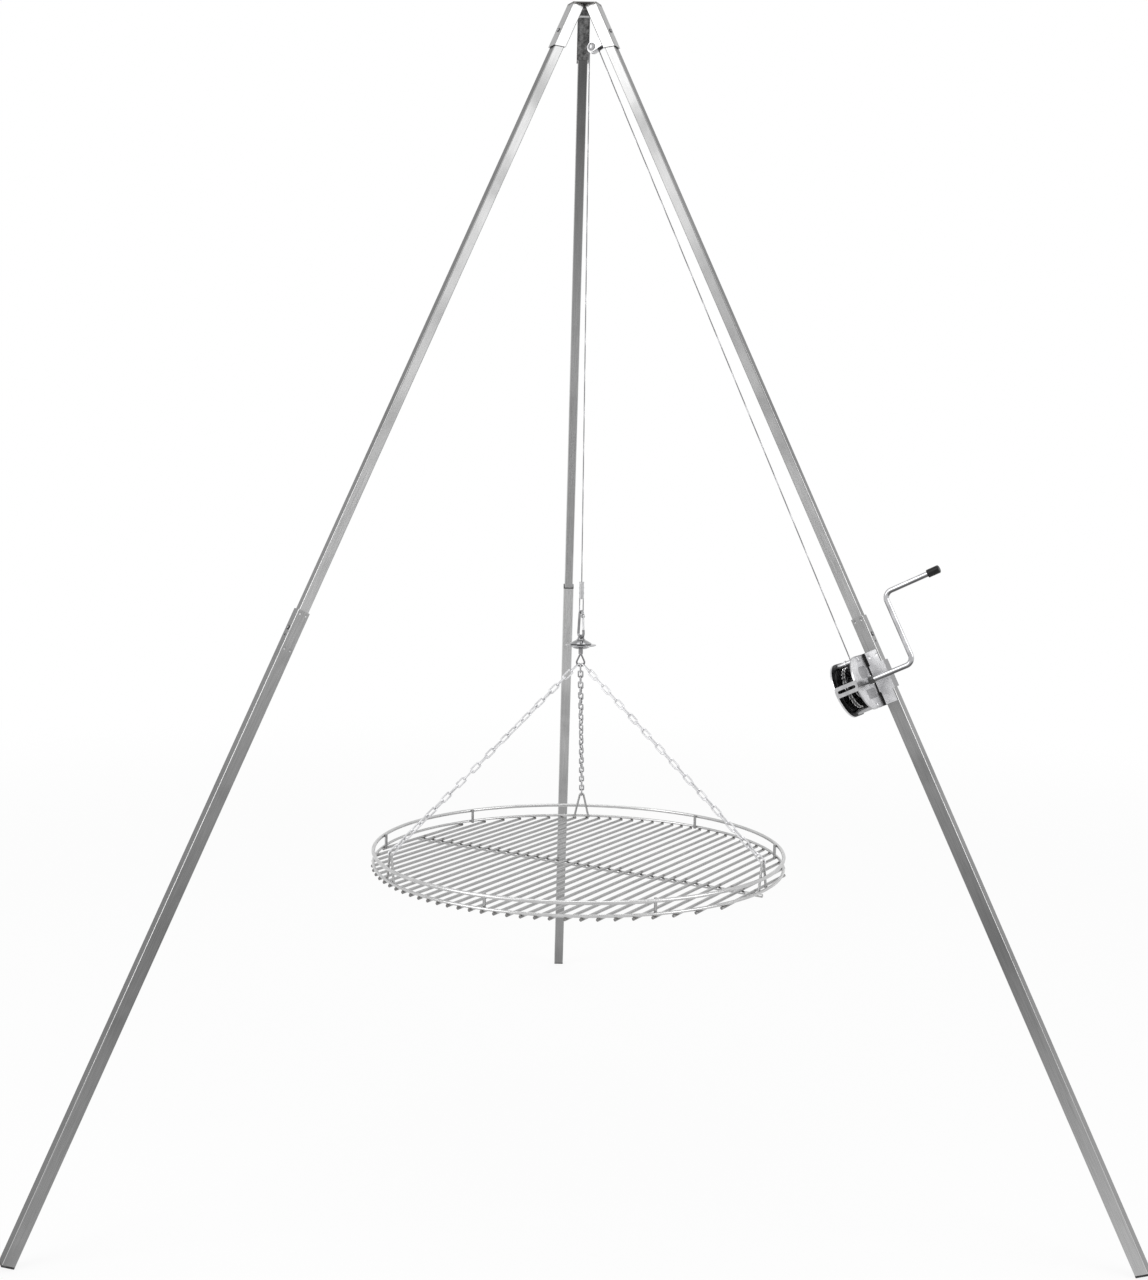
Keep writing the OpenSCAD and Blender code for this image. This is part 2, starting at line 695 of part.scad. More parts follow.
coil_self_gap = min([for (i = [0:len(coil_curve) - 1], j = [0:len(coil_curve) - 1])
    if (j - i > coil_steps / 2) norm(coil_curve[i] - coil_curve[j])]) - rope_d;
echo(coil_self_gap = coil_self_gap);

// Rope that wraps over the core's layer, goes up to the pulley and over it, in the right leg's frame
run_start = [run_x, -winch_off + lay_r, winch_s];
run_wrap = 250;
run_flat = [pulley_x - run_start[0], pulley_s - run_start[2]];
run_turn = atan2(run_flat[0], run_flat[1]) + asin(pulley_rope_r / norm(run_flat));
run_end = [pulley_x + pulley_rope_r * cos(run_turn), 0, pulley_s - pulley_rope_r * sin(run_turn)];
arc_from = leg_lean - run_turn;

module rope_run() {
    span = run_end - run_start;
    color(rope_colour) {
        in_winch() translate([run_x, 0, 0]) rotate([90, 0, 90])
            bend(lay_r, rope_d / 2, -run_wrap, run_wrap);
        in_leg(az_right) translate(run_start)
            rotate([0, acos(span[2] / norm(span)), atan2(span[1], span[0])])
                cylinder(h = norm(span), r = rope_d / 2);
        for (corner = [run_start, run_end])
            in_leg(az_right) translate(corner) sphere(rope_d / 2 + joint_r);
        translate([pulley_r * cos(az_right), axis_y + pulley_r * sin(az_right), pulley_z])
            rotate([0, 0, az_right]) rotate([90, 0, 0])
                bend(pulley_rope_r, rope_d / 2, arc_from, 180 - arc_from);
    }
}

module crank_rod() {
    arm_x = arm_out;
    color(steel_colour) in_winch() difference() {
        union() {
            rod_x(rod_end_x, arm_x - bend_r, rod_r);
            translate([arm_x - bend_r, 0, bend_r]) rotate([90, 0, 0])
                bend(bend_r, rod_r, -90, 90);
            translate([arm_x, 0, bend_r]) cylinder(h = arm_len - 2 * bend_r, r = rod_r);
            translate([arm_x + bend_r, 0, arm_len - bend_r]) rotate([90, 0, 0])
                bend(bend_r, rod_r, 90, 90);
            translate([0, 0, arm_len]) rod_x(arm_x + bend_r, handle_out - 2, rod_r);
        }
        for (x = pin_places) translate([x, 0, -rod_d]) cylinder(h = 2 * rod_d, r = pin_d / 2 + seat);
    }
}
pin_places = [collar_x + collar_len / 2, rod_end_x + 3];

module crank_cap() {
    wall = (cap_d - rod_d) / 2;
    cap_round = wall;
    color(dark_colour) in_winch() translate([handle_out - cap_len, 0, arm_len]) difference() {
        union() {
            rod_x(0, cap_len - cap_round, cap_d / 2);
            rod_x(0, cap_len, cap_d / 2 - cap_round);
            translate([cap_len - cap_round, 0, 0]) rotate([0, 90, 0])
                rotate_extrude() translate([cap_d / 2 - cap_round, 0]) circle(cap_round);
        }
        rod_x(-over, cap_len - 2 + seat, rod_r + seat);
    }
}

module crank_collar() {
    washer_t = 1.2;
    washer_x = plate_inner_x - plate_t - part_gap - washer_t;
    color(dark_colour) in_winch() {
        difference() {
            rod_x(collar_x, collar_x + collar_len, rod_r + 1.6);
            rod_x(collar_x - over, collar_x + collar_len + over, rod_r + seat);
            translate([pin_places[0], 0, -rod_d]) cylinder(h = 2 * rod_d, r = pin_d / 2 + seat);
        }
        difference() {
            rod_x(washer_x, washer_x + washer_t, rod_r + 3);
            rod_x(washer_x - over, washer_x + washer_t + over, rod_r + seat);
        }
    }
}

module crank_pins() {
    pin_half = rod_r + 3;
    color(zinc_colour) in_winch() for (x = pin_places)
        translate([x, 0, -pin_half]) cylinder(h = 2 * pin_half, r = pin_d / 2);
}

// A stop lever on the upper spacer; it rides just clear of the ratchet's teeth
module pawl() {
    eye = spacer_d / 2 + 1.4;
    tip_r = 1.6;
    rest_gap = 0.5;
    lead = 27;
    spacer_a = atan2(spacer_up, spacer_in);
    tip_q = ratchet_r + rest_gap + tip_r;
    tip = tip_q * [cos(spacer_a - lead), sin(spacer_a - lead)];
    pawl_t = 2.4;
    color(zinc_colour) in_winch() difference() {
        plate_x(drum_c + (ratchet_t - pawl_t) / 2, pawl_t) difference() {
            union() {
                translate([spacer_in, spacer_up]) circle(eye);
                hull() {
                    translate([spacer_in, spacer_up] * 1.02) circle(eye * 0.55, $fn = 32);
                    translate(tip) circle(tip_r, $fn = 32);
                }
            }
            circle(ratchet_r + rest_gap, $fn = 96);
        }
        translate([0, spacer_in, spacer_up])
            rod_x(drum_c - over, drum_b + over, spacer_d / 2 + run_gap);
    }
}

module pulley_wheel() {
    rim_flat = 1.2;
    half = pulley_w / 2;
    color(zinc_colour) translate([pulley_r * cos(az_right), axis_y + pulley_r * sin(az_right), pulley_z])
        rotate([0, 0, az_right]) rotate([90, 0, 0]) rotate_extrude() difference() {
            translate([pulley_bolt_d / 2 + run_gap, -half])
                square([wheel_r - pulley_bolt_d / 2 - run_gap, pulley_w]);
            translate([pulley_rope_r, 0]) circle(pulley_rope_r - groove_r);
            polygon([[pulley_rope_r, -rope_d / 2 - part_gap], [wheel_r + over, rim_flat - half],
                [wheel_r + over, half - rim_flat], [pulley_rope_r, rope_d / 2 + part_gap]]);
        }
}

module pulley_bracket() {
    face = -lower_w / 2 - seat;
    color(zinc_colour) in_leg(az_right) difference() {
        union() {
            for (y = [cheek_in, -cheek_in - bracket_t]) translate([0, y, 0]) {
                translate([pulley_x, 0, pulley_s]) rod_y(0, bracket_t, cheek_r);
                translate([pulley_x, 0, pulley_s - cheek_r])
                    cube([face - pulley_x, bracket_t, 2 * cheek_r]);
            }
            translate([face - bracket_t, -cheek_in - bracket_t, pulley_s - cheek_r])
                cube([bracket_t, 2 * (cheek_in + bracket_t), 2 * cheek_r]);
        }
        translate([pulley_x, 0, pulley_s])
            rod_y(-2 * pulley_w, 2 * pulley_w, pulley_bolt_d / 2 + run_gap);
    }
}

module pulley_bolt() {
    head = cheek_in + bracket_t;
    head_h = 3;
    head_r = pulley_bolt_d * 1.25;
    nut_h = 4;
    across = pulley_bolt_d * 1.75;
    color(zinc_colour) in_leg(az_right) translate([pulley_x, 0, pulley_s]) {
        rod_y(-head - seat, head + nut_h + 1, pulley_bolt_d / 2);
        rod_y(-head - seat - head_h, -head - seat, head_r);
        translate([0, head + seat + nut_h, 0]) rotate([90, 0, 0])
            cylinder(h = nut_h, r = across / 2 / cos(30), $fn = 6);
    }
}

module rope_piece(z0, z1) color(rope_colour) in_hoist(z0) cylinder(h = z1 - z0, r = rope_d / 2);

module rope_lead_upper() rope_piece(pulley_z - part_gap - lead_len, pulley_z - part_gap);

module rope_lead_lower() rope_piece(drop_top + part_gap, drop_top + part_gap + lead_len);

module rope_drop() rope_piece(ferrule_z, drop_top);

module rope_ferrule() {
    band = 1.2;
    step = (ferrule_len - band) / 3;
    color(steel_colour) in_hoist(ferrule_z - ferrule_len) difference() {
        cylinder(h = ferrule_len, r = ferrule_d / 2);
        for (i = [0:2]) translate([0, 0, band + i * step + 0.6]) rotate_extrude()
            translate([ferrule_d / 2 - 0.5, 0]) square([2, step - band - 1.2]);
    }
}

// Loop of rope under the ferrule, round the hook's top wire
module rope_loop() {
    leg = ferrule_z - ferrule_len - hook_z;
    color(rope_colour) in_hoist(hook_z) rotate([0, 0, hook_turn - 90]) {
        rotate([90, 0, 0]) bend(loop_r, rope_d / 2, 180, 180);
        for (side = [-1, 1]) translate([side * loop_r, 0, 0]) cylinder(h = leg, r = rope_d / 2);
    }
}

// The hook's own frame has X in the hook's plane and Z up, with its origin in the top wire
hook_side = hook_span * cos(hook_taper);
gate_pin_r = 0.8;
gate_r = 1.9;
lug_r = 2.7;
lug_down = 3.5;
nose_len = 5;
gate_run = hook_side - lug_down - nose_len - part_gap;

module in_hook() in_hoist(hook_z) rotate([0, 0, hook_turn]) children();

// Children stand on the gate's side of the hook, with Z down along it from the narrow end
module along_gate() translate([0, 0, -hook_top_r]) rotate([0, hook_taper, 0])
    translate([-hook_top_r, 0, 0]) rotate([0, 180, 0]) children();

module snap_hook() {
    slot = 2.2;
    color(steel_colour) in_hook() difference() {
        union() {
            translate([0, 0, -hook_top_r]) rotate([90, 0, 0])
                bend(hook_top_r, hook_d / 2, hook_taper, 180 - 2 * hook_taper);
            translate([0, 0, -hook_top_r - hook_span]) rotate([90, 0, 0])
                bend(hook_bottom_r, hook_d / 2, 180 - hook_taper, 180 + 2 * hook_taper);
            mirror([1, 0, 0]) along_gate() cylinder(h = hook_side, r = hook_d / 2);
            along_gate() translate([0, 0, hook_side - nose_len])
                cylinder(h = nose_len, r = hook_d / 2);
            along_gate() cylinder(h = lug_down, r = hook_d / 2);
            along_gate() translate([0, 0, hook_side]) sphere(hook_d / 2 + joint_r);
            mirror([1, 0, 0]) along_gate() translate([0, 0, hook_side])
                sphere(hook_d / 2 + joint_r);
            along_gate() translate([0, 0, lug_down]) rod_y(-hook_d / 2, hook_d / 2, lug_r);
        }
        along_gate() translate([-2 * lug_r, -slot / 2, lug_down - lug_r - part_gap])
            cube([4 * lug_r, slot, 3 * lug_r]);
        along_gate() translate([0, 0, lug_down]) rod_y(-hook_d, hook_d, gate_pin_r + seat / 2);
    }
}

module hook_gate_pin() color(steel_colour) in_hook() along_gate()
    translate([0, 0, lug_down]) rod_y(-hook_d / 2 - 0.3, hook_d / 2 + 0.3, gate_pin_r);

module hook_gate() {
    tongue = 1.9;
    body_from = lug_r + part_gap;
    color(zinc_colour) in_hook() along_gate() translate([0, 0, lug_down]) difference() {
        union() {
            rod_y(-tongue / 2, tongue / 2, lug_r - part_gap);
            translate([-1.4, -tongue / 2, 0]) cube([2.8, tongue, body_from + 1]);
            translate([0, 0, body_from]) cylinder(h = gate_run - body_from, r = gate_r);
        }
        rod_y(-hook_d, hook_d, gate_pin_r + run_gap);
    }
}

// Upper half of the swivel: a dome with a cavity for the lower half's head and an eye on top
module swivel_cap() {
    r = swivel_d / 2;
    top_r = r * 0.42;
    collar = 1.4;
    stem_r = 2.5;
    head_room = 5;
    color(steel_colour) {
        in_hoist(cap_bottom_z) rotate_extrude() difference() {
            polygon([[0, 0], [r - 0.4, 0], [r, 0.6], [r, 1.4], [r * 0.8, 3.6], [r * 0.58, 5.8],
                [top_r, cap_h - collar], [top_r, cap_h], [0, cap_h]]);
            polygon([[0, -over], [stem_r + run_gap, -over], [stem_r + run_gap, 2], [head_room, 2],
                [head_room, 6.4], [0, 6.4]]);
        }
        in_hoist(eye_z) rotate([0, 0, hook_turn + 90]) {
            rotate([90, 0, 0]) bend(eye_r, eye_d / 2, 0, 180);
            for (side = [-1, 1]) translate([side * eye_r, 0, cap_top_z - eye_z - 1])
                cylinder(h = eye_z - cap_top_z + 1, r = eye_d / 2);
        }
    }
}

module swivel_disc() {
    r = swivel_d / 2;
    rim_r = swivel_rim_d / 2;
    neck_r = 3.8;
    stem_r = 2.5;
    color(steel_colour) {
        in_hoist(cap_bottom_z - part_gap - saucer_h) rotate_extrude() polygon([[0, -neck_len],
            [neck_r, -neck_len], [neck_r, 0], [r * 0.56, 0], [r * 0.74, 1.4], [r * 0.88, 3.2], [r, 4.4],
            [rim_r - 1, saucer_h - rim_t - 0.4], [rim_r, saucer_h - rim_t + 0.4],
            [rim_r - 0.4, saucer_h - rim_t + 1.2], [r, saucer_h], [stem_r, saucer_h],
            [stem_r, saucer_h + 2 + 2 * part_gap], [4.6, saucer_h + 2 + 2 * part_gap],
            [4.6, saucer_h + 6.2], [0, saucer_h + 6.2]]);
    }
}

// Pear-shaped ring that hangs from the neck and carries the three chains
module chain_ring() {
    wire = chain_ring_d / 2;
    leg = ring_drop * sin(ring_taper);
    color(steel_colour) in_hoist(ring_z) rotate([0, 0, ring_plane]) difference() {
        union() {
            rotate([90, 0, 0]) bend(chain_ring_r, wire, 90 + ring_taper, 360 - 2 * ring_taper);
            for (side = [0, 180]) rotate([0, 0, side]) rotate([0, -(90 - ring_taper), 0])
                translate([chain_ring_r, 0, 0]) cylinder(h = leg - 2, r = wire);
        }
        translate([0, 0, neck_bottom_z - ring_z - seat])
            cylinder(h = neck_len, r = 2 * chain_ring_r);
    }
}

module chain_link() {
    wire = link_d / 2;
    end_r = (link_in + link_d) / 2;
    straight = link_len / 2 + wire - end_r;
    for (way = [0, 180]) rotate([0, way, 0]) {
        translate([0, 0, straight]) rotate([90, 0, 0]) bend(end_r, wire, 0, 180);
        translate([end_r, 0, -straight]) cylinder(h = 2 * straight, r = wire);
    }
}

// A chain from the ring's wire to the top of a hanger; side gives its place on the ring
module chain(az, side) {
    plane_x = [cos(ring_plane), sin(ring_plane), 0];
    wire_at = chain_ring_r * (sin(side) * plane_x - cos(side) * [0, 0, 1]);
    wire_along = cos(side) * plane_x + sin(side) * [0, 0, 1];
    start = [0, 0, ring_z] + wire_at;
    end = [hanger_r * cos(az), hanger_r * sin(az), hanger_top_z];
    way = unit(end - start);
    tilt = acos(way[2]);
    turn = atan2(way[1], way[0]);
    across = [cos(tilt) * cos(turn), cos(tilt) * sin(turn), -sin(tilt)];
    level = [-sin(turn), cos(turn), 0];
    first = atan2(-wire_along * across, wire_along * level);
    first_near = first > 90 ? first - 180 : first < -90 ? first + 180 : first;
    inset = link_len / 2 - link_gap;
    reach = norm(end - start) - 2 * inset + (chain_ring_d + hanger_d) / 2;
    step = reach / (links - 1);
    color(zinc_colour) in_hoist(0) for (i = [0:links - 1]) {
        share = i / (links - 1);
        roll = first_near * (1 - share) + 90 * i + 90 * share;
        translate(start + way * (inset - chain_ring_d / 2 + i * step))
            rotate([0, tilt, turn]) rotate([0, 0, roll]) chain_link();
    }
}

// A hanger: a wire bent to a narrow arch whose feet are welded inside the lower ring
module hanger(az) {
    wire = hanger_d / 2;
    top_r = 4;
    rise = hanger_h - top_r;
    spread = hanger_w / 2 - top_r;
    leg_a = atan2(spread, rise + lower_ring_d / 2);
    leg_l = norm([spread, rise + lower_ring_d / 2]);
    color(zinc_colour) in_hoist(hanger_top_z - top_r) rotate([0, 0, az])
        translate([hanger_r, 0, 0]) rotate([0, 0, 90]) {
            rotate([90, 0, 0]) bend(top_r, wire, 0, 180);
            for (side = [-1, 1]) translate([side * top_r, 0, 0]) {
                sphere(wire);
                rotate([0, 180 - side * leg_a, 0]) cylinder(h = leg_l, r = wire);
            }
        }
}

module upper_ring() color(steel_colour) in_hoist(grate_z + ring_rise)
    rotate_extrude($fn = 180) translate([ring_r, 0]) circle(upper_ring_d / 2, $fn = 32);

module lower_ring() color(steel_colour) in_hoist(grate_z)
    rotate_extrude($fn = 180) translate([lower_ring_r, 0]) circle(lower_ring_d / 2, $fn = 32);

module ring_posts() {
    r = ring_r - max(upper_ring_d, lower_ring_d) / 2 - post_d / 2 - seat;
    post_turns = [37, 81];
    color(steel_colour) for (az = hanger_azs, turn = post_turns)
        in_hoist(grate_z - lower_ring_d / 2) rotate([0, 0, az + turn]) translate([r, 0, 0])
            cylinder(h = ring_rise + lower_ring_d / 2 + upper_ring_d / 2, r = post_d / 2);
}

module grill_bars() {
    count = floor(lower_ring_r / bar_pitch);
    color(steel_colour) in_hoist(bar_z) rotate([0, 0, bar_turn])
        for (i = [-count:count]) let (half = sqrt(pow(bar_reach, 2) - pow(i * bar_pitch, 2)))
            if (abs(i * bar_pitch) < lower_ring_r - lower_ring_d)
                translate([0, i * bar_pitch, 0]) rod_x(-half, half, bar_d / 2);
}

module cross_bar() color(steel_colour) in_hoist(cross_z) rotate([0, 0, bar_turn + 90])
    rod_x(-lower_ring_r + 5, lower_ring_r - 5, cross_d / 2);

echo(hub_top = tripod_h, axis_y = axis_y, hoist = [hoist_x, hoist_y, pulley_z], grate_z = grate_z, bar_z = bar_z);
echo(winch_axis_at = leg_point(az_right, [plate_outer_x, -winch_off, winch_s]),
    winch_axis = leg_outward(az_right), lay_r = lay_r, run_x = run_x, winch_s = winch_s);
echo(pawl_at = leg_point(az_right, [drum_c, spacer_in - winch_off, winch_s + spacer_up]));
echo(pulley_at = [pulley_r * cos(az_right), axis_y + pulley_r * sin(az_right), pulley_z],
    drop_top = drop_top, ferrule_z = ferrule_z);
echo(leg_outward_left = leg_outward(az_left), leg_outward_rear = leg_outward(az_rear));
echo(hook_z = hook_z, hook_taper = hook_taper, swivel_z = cap_bottom_z, ring_z = ring_z,
    hanger_top_z = hanger_top_z, leg_len = leg_len, foot_r = foot_r, upper_top = upper_top);

hub();
pulley_bracket();
pulley_bolt();
upper_leg(az_left);  // upper_leg_left
upper_leg(az_right);  // upper_leg_right
upper_leg(az_rear);  // upper_leg_rear
lower_leg(az_left);  // lower_leg_left
lower_leg(az_right);  // lower_leg_right
lower_leg(az_rear);  // lower_leg_rear
foot_plug(az_left);  // foot_plug_left
foot_plug(az_right);  // foot_plug_right
foot_plug(az_rear);  // foot_plug_rear
hub_spring_clips();
leg_spring_clips();
winch_saddle();
winch_pad();
winch_plate_outer();
winch_plate_inner();
winch_spacers();
winch_screws();
winch_strap();
winch_back();
winch_mount_bolts();
rope_run();
drum();
rope_coil();
crank_rod();
crank_cap();
crank_collar();
crank_pins();
pawl();
pulley_wheel();
rope_lead_upper();
rope_lead_lower();
rope_drop();
rope_ferrule();
rope_loop();
snap_hook();
hook_gate_pin();
swivel_cap();
hook_gate();
swivel_disc();
chain_ring();
chain(hanger_azs[0], -ring_side);  // chain_left
chain(hanger_azs[1], ring_side);  // chain_right
chain(hanger_azs[2], 0);  // chain_rear
hanger(hanger_azs[0]);  // hanger_left
hanger(hanger_azs[1]);  // hanger_right
hanger(hanger_azs[2]);  // hanger_rear
upper_ring();
lower_ring();
ring_posts();
grill_bars();
cross_bar();
spring_button(az_left, hub_button_s, -1);  // hub_button_left
spring_button(az_right, hub_button_s, -1);  // hub_button_right
spring_button(az_rear, hub_button_s, -1);  // hub_button_rear
spring_button(az_left, leg_button_s, 1);  // leg_button_left
spring_button(az_right, leg_button_s, 1);  // leg_button_right
spring_button(az_rear, leg_button_s, 1);  // leg_button_rear
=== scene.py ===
import json
import math

import bmesh
import bpy
from mathutils import Matrix, Vector


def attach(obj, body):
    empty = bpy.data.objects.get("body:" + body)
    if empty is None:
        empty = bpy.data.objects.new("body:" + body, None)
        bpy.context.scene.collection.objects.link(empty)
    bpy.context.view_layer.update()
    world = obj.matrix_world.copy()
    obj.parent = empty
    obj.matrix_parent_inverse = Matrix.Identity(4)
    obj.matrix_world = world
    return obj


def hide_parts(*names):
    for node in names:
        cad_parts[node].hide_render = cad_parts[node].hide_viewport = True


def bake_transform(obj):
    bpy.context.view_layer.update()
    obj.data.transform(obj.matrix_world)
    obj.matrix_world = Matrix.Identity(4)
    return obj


# Looks of the tripod grill. All lengths are in metres.
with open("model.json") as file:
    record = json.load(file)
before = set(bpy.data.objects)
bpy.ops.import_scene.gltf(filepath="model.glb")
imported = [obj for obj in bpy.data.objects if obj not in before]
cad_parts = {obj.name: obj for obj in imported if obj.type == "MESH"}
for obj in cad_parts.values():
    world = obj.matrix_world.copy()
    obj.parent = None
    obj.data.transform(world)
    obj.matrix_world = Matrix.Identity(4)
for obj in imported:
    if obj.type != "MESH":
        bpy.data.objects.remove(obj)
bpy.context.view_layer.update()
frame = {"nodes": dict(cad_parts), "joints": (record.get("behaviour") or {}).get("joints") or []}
jointOf = {joint["name"]: joint for joint in frame["joints"]}
scene = bpy.context.scene
scene.view_settings.view_transform = "Standard"
up = Vector((0, 0, 1))
white = (1, 1, 1, 1)
print("stage: frame loaded")

camera = {
    "position": (-0.0764, -2.6797, 1.0935),
    "forward": (0.00828, 0.99516, -0.09793),
    "roll": 0.689,
    "focal": 1458 / 1280,  # in frame heights
    "shift": (31.9 / 1280, 4.8 / 1280),
    "sensor": 36,
    "farthest": 100,
}
studio = {
    "skyStrength": 0.62,
    "floorColour": (0.88, 0.88, 0.88, 1),
    "floorSize": 60.0,
    "floorGlow": (0.88, 1.0),  # share of white light, near and far
    "floorFade": (1.6, 5.0),
    "lamps": {  # position, aimed at, width, height, watts
        "softboxLeft": ((-3.7, -2.4, 2.8), (0.0, -0.2, 2.2), 2.6, 3.2, 82),
        "softboxRight": ((3.7, -2.4, 2.9), (0.0, -0.2, 2.2), 2.6, 2.8, 62),
        "softboxTop": ((0.0, 0.6, 5.0), (0.0, -0.2, 0.0), 2.6, 2.6, 40),
    },
}


def makeCamera():
    forward = Vector(camera["forward"]).normalized()
    right = forward.cross(up).normalized()
    top = right.cross(forward)
    roll = math.radians(camera["roll"])
    turnedRight = right * math.cos(roll) + top * math.sin(roll)
    turnedTop = top * math.cos(roll) - right * math.sin(roll)
    data = bpy.data.cameras.new("photoCamera")
    data.sensor_width = camera["sensor"]
    data.lens = camera["focal"] * data.sensor_width
    data.shift_x, data.shift_y = camera["shift"]
    data.clip_end = camera["farthest"]
    holder = bpy.data.objects.new("photoCamera", data)
    scene.collection.objects.link(holder)
    rows = Matrix((turnedRight, turnedTop, -forward)).transposed()
    holder.matrix_world = Matrix.Translation(camera["position"]) @ rows.to_4x4()
    scene.camera = holder


def makeLamps():
    for name, (position, aim, width, height, watts) in studio["lamps"].items():
        data = bpy.data.lights.new(name, "AREA")
        data.shape = "RECTANGLE"
        data.size, data.size_y, data.energy = width, height, watts
        lamp = bpy.data.objects.new(name, data)
        scene.collection.objects.link(lamp)
        lamp.location = position
        way = Vector(aim) - Vector(position)
        lamp.rotation_euler = way.to_track_quat("-Z", "Y").to_euler()


# Node helpers: each adds nodes to a tree and gives back what they make
def addNode(tree, kind, settings=None, inputs=None):
    made = tree.nodes.new(kind)
    for name, value in (settings or {}).items():
        setattr(made, name, value)
    for key, value in (inputs or {}).items():
        if isinstance(value, bpy.types.NodeSocket):
            tree.links.new(value, made.inputs[key])
        else:
            made.inputs[key].default_value = value
    return made


def calculate(tree, operation, first, second=0.0):
    return addNode(tree, "ShaderNodeMath", {"operation": operation}, {0: first, 1: second}).outputs[0]


def along(tree, point, direction):
    inputs = {0: point, 1: tuple(direction)}
    return addNode(tree, "ShaderNodeVectorMath", {"operation": "DOT_PRODUCT"}, inputs).outputs["Value"]


def lengthOf(tree, vector):
    return addNode(tree, "ShaderNodeVectorMath", {"operation": "LENGTH"}, {0: vector}).outputs["Value"]


def countedFrom(tree, point, centre):
    inputs = {0: point, 1: tuple(centre)}
    return addNode(tree, "ShaderNodeVectorMath", {"operation": "SUBTRACT"}, inputs).outputs[0]


def distanceFrom(tree, value, target):
    return calculate(tree, "ABSOLUTE", calculate(tree, "SUBTRACT", value, target))


def noise(tree, point, scale, detail=2.0, roughness=0.5):
    inputs = {"Vector": point, "Scale": scale, "Detail": detail, "Roughness": roughness}
    return addNode(tree, "ShaderNodeTexNoise", None, inputs).outputs[0]


def remap(tree, value, fromLow, fromHigh, toLow=0.0, toHigh=1.0, smooth=False):
    settings = {"interpolation_type": "SMOOTHSTEP" if smooth else "LINEAR"}
    inputs = {0: value, 1: fromLow, 2: fromHigh, 3: toLow, 4: toHigh}
    return addNode(tree, "ShaderNodeMapRange", settings, inputs).outputs[0]


def blendColour(tree, share, first, second):
    settings = {"data_type": "RGBA"}
    return addNode(tree, "ShaderNodeMix", settings, {0: share, 6: first, 7: second}).outputs[2]


def bump(tree, height, strength, distance):
    inputs = {"Height": height, "Strength": strength, "Distance": distance}
    return addNode(tree, "ShaderNodeBump", None, inputs).outputs[0]


def seenDirectly(tree):
    rays = addNode(tree, "ShaderNodeLightPath")
    seen = calculate(tree, "MAXIMUM", rays.outputs["Is Camera Ray"], rays.outputs["Is Glossy Ray"])
    return calculate(tree, "MAXIMUM", seen, rays.outputs["Is Transmission Ray"])


def mixShaders(tree, share, first, second):
    inputs = {0: share, 1: first.outputs[0], 2: second.outputs[0]}
    return addNode(tree, "ShaderNodeMixShader", None, inputs).outputs[0]


def placeOn(tree):
    return addNode(tree, "ShaderNodeTexCoord").outputs["Object"]


def facing(tree, direction):
    normal = addNode(tree, "ShaderNodeTexCoord").outputs["Normal"]
    return along(tree, normal, direction)


def makeWorld():
    world = bpy.data.worlds.new("paleStudio")
    world.use_nodes = True
    tree = world.node_tree
    tree.nodes.clear()
    sky = addNode(tree, "ShaderNodeBackground", None, {0: white, 1: studio["skyStrength"]})
    backdrop = addNode(tree, "ShaderNodeBackground", None, {0: white, 1: 1.0})
    mixed = mixShaders(tree, seenDirectly(tree), sky, backdrop)
    addNode(tree, "ShaderNodeOutputWorld", None, {0: mixed})
    scene.world = world


def makeFloor():
    half = studio["floorSize"] / 2
    mesh = bpy.data.meshes.new("floor")
    corners = [(-half, -half, 0), (half, -half, 0), (half, half, 0), (-half, half, 0)]
    mesh.from_pydata(corners, [], [(0, 1, 2, 3)])
    floor = bpy.data.objects.new("floor", mesh)
    scene.collection.objects.link(floor)
    material = bpy.data.materials.new("paleFloor")
    material.use_nodes = True
    tree = material.node_tree
    tree.nodes.clear()
    matt = addNode(tree, "ShaderNodeBsdfDiffuse", None, {0: studio["floorColour"]})
    glow = addNode(tree, "ShaderNodeEmission", None, {0: white, 1: 1.0})
    reach = lengthOf(tree, placeOn(tree))
    fade = remap(tree, reach, *studio["floorFade"], *studio["floorGlow"], True)
    share = calculate(tree, "MULTIPLY", seenDirectly(tree), fade)
    addNode(tree, "ShaderNodeOutputMaterial", None, {0: mixShaders(tree, share, matt, glow)})
    mesh.materials.append(material)


makeCamera()
makeLamps()
makeWorld()
makeFloor()
print("stage: camera, light and floor")

# Places and sizes that pieces and finishes share, as in the CAD model
tripod = {"height": 1.892, "lean": 26, "legTop": 0.015, "tube": 0.020, "tubeRound": 0.0016,
          "azimuths": {"left": 210, "right": 330, "rear": 90}}
winch = {"offLeg": 0.050, "along": 0.927}
grate = {"turn": -3, "ringRadius": 0.347}
azimuths = tripod["azimuths"]
lean = math.radians(tripod["lean"])
footHeight = tripod["tube"] / 2 * math.sin(lean)
footRadius = tripod["legTop"] + (tripod["height"] - footHeight) * math.tan(lean)
footEdge = footRadius + tripod["tube"] / 2 * math.cos(lean)
halfSpread = math.radians(azimuths["right"] - azimuths["left"]) / 2
frontEdge = footEdge * math.cos(halfSpread) + tripod["tube"] / 2 * math.sin(halfSpread)
axisY = (frontEdge - footEdge) / 2
hoistAt = Vector(jointOf["swing_side"]["pos_m"])
hoistAxis = Vector((hoistAt.x, hoistAt.y, 0))


def outOf(degrees):
    return Vector((math.cos(math.radians(degrees)), math.sin(math.radians(degrees)), 0))


def placing(origin, axes):
    return Matrix.Translation(origin) @ Matrix(axes).transposed().to_4x4()


def legPlace(side):
    out = outOf(azimuths[side])
    outward = out * math.cos(lean) + up * math.sin(lean)
    upward = up * math.cos(lean) - out * math.sin(lean)
    foot = out * footRadius + Vector((0, axisY, footHeight))
    return placing(foot, (outward, up.cross(out), upward))


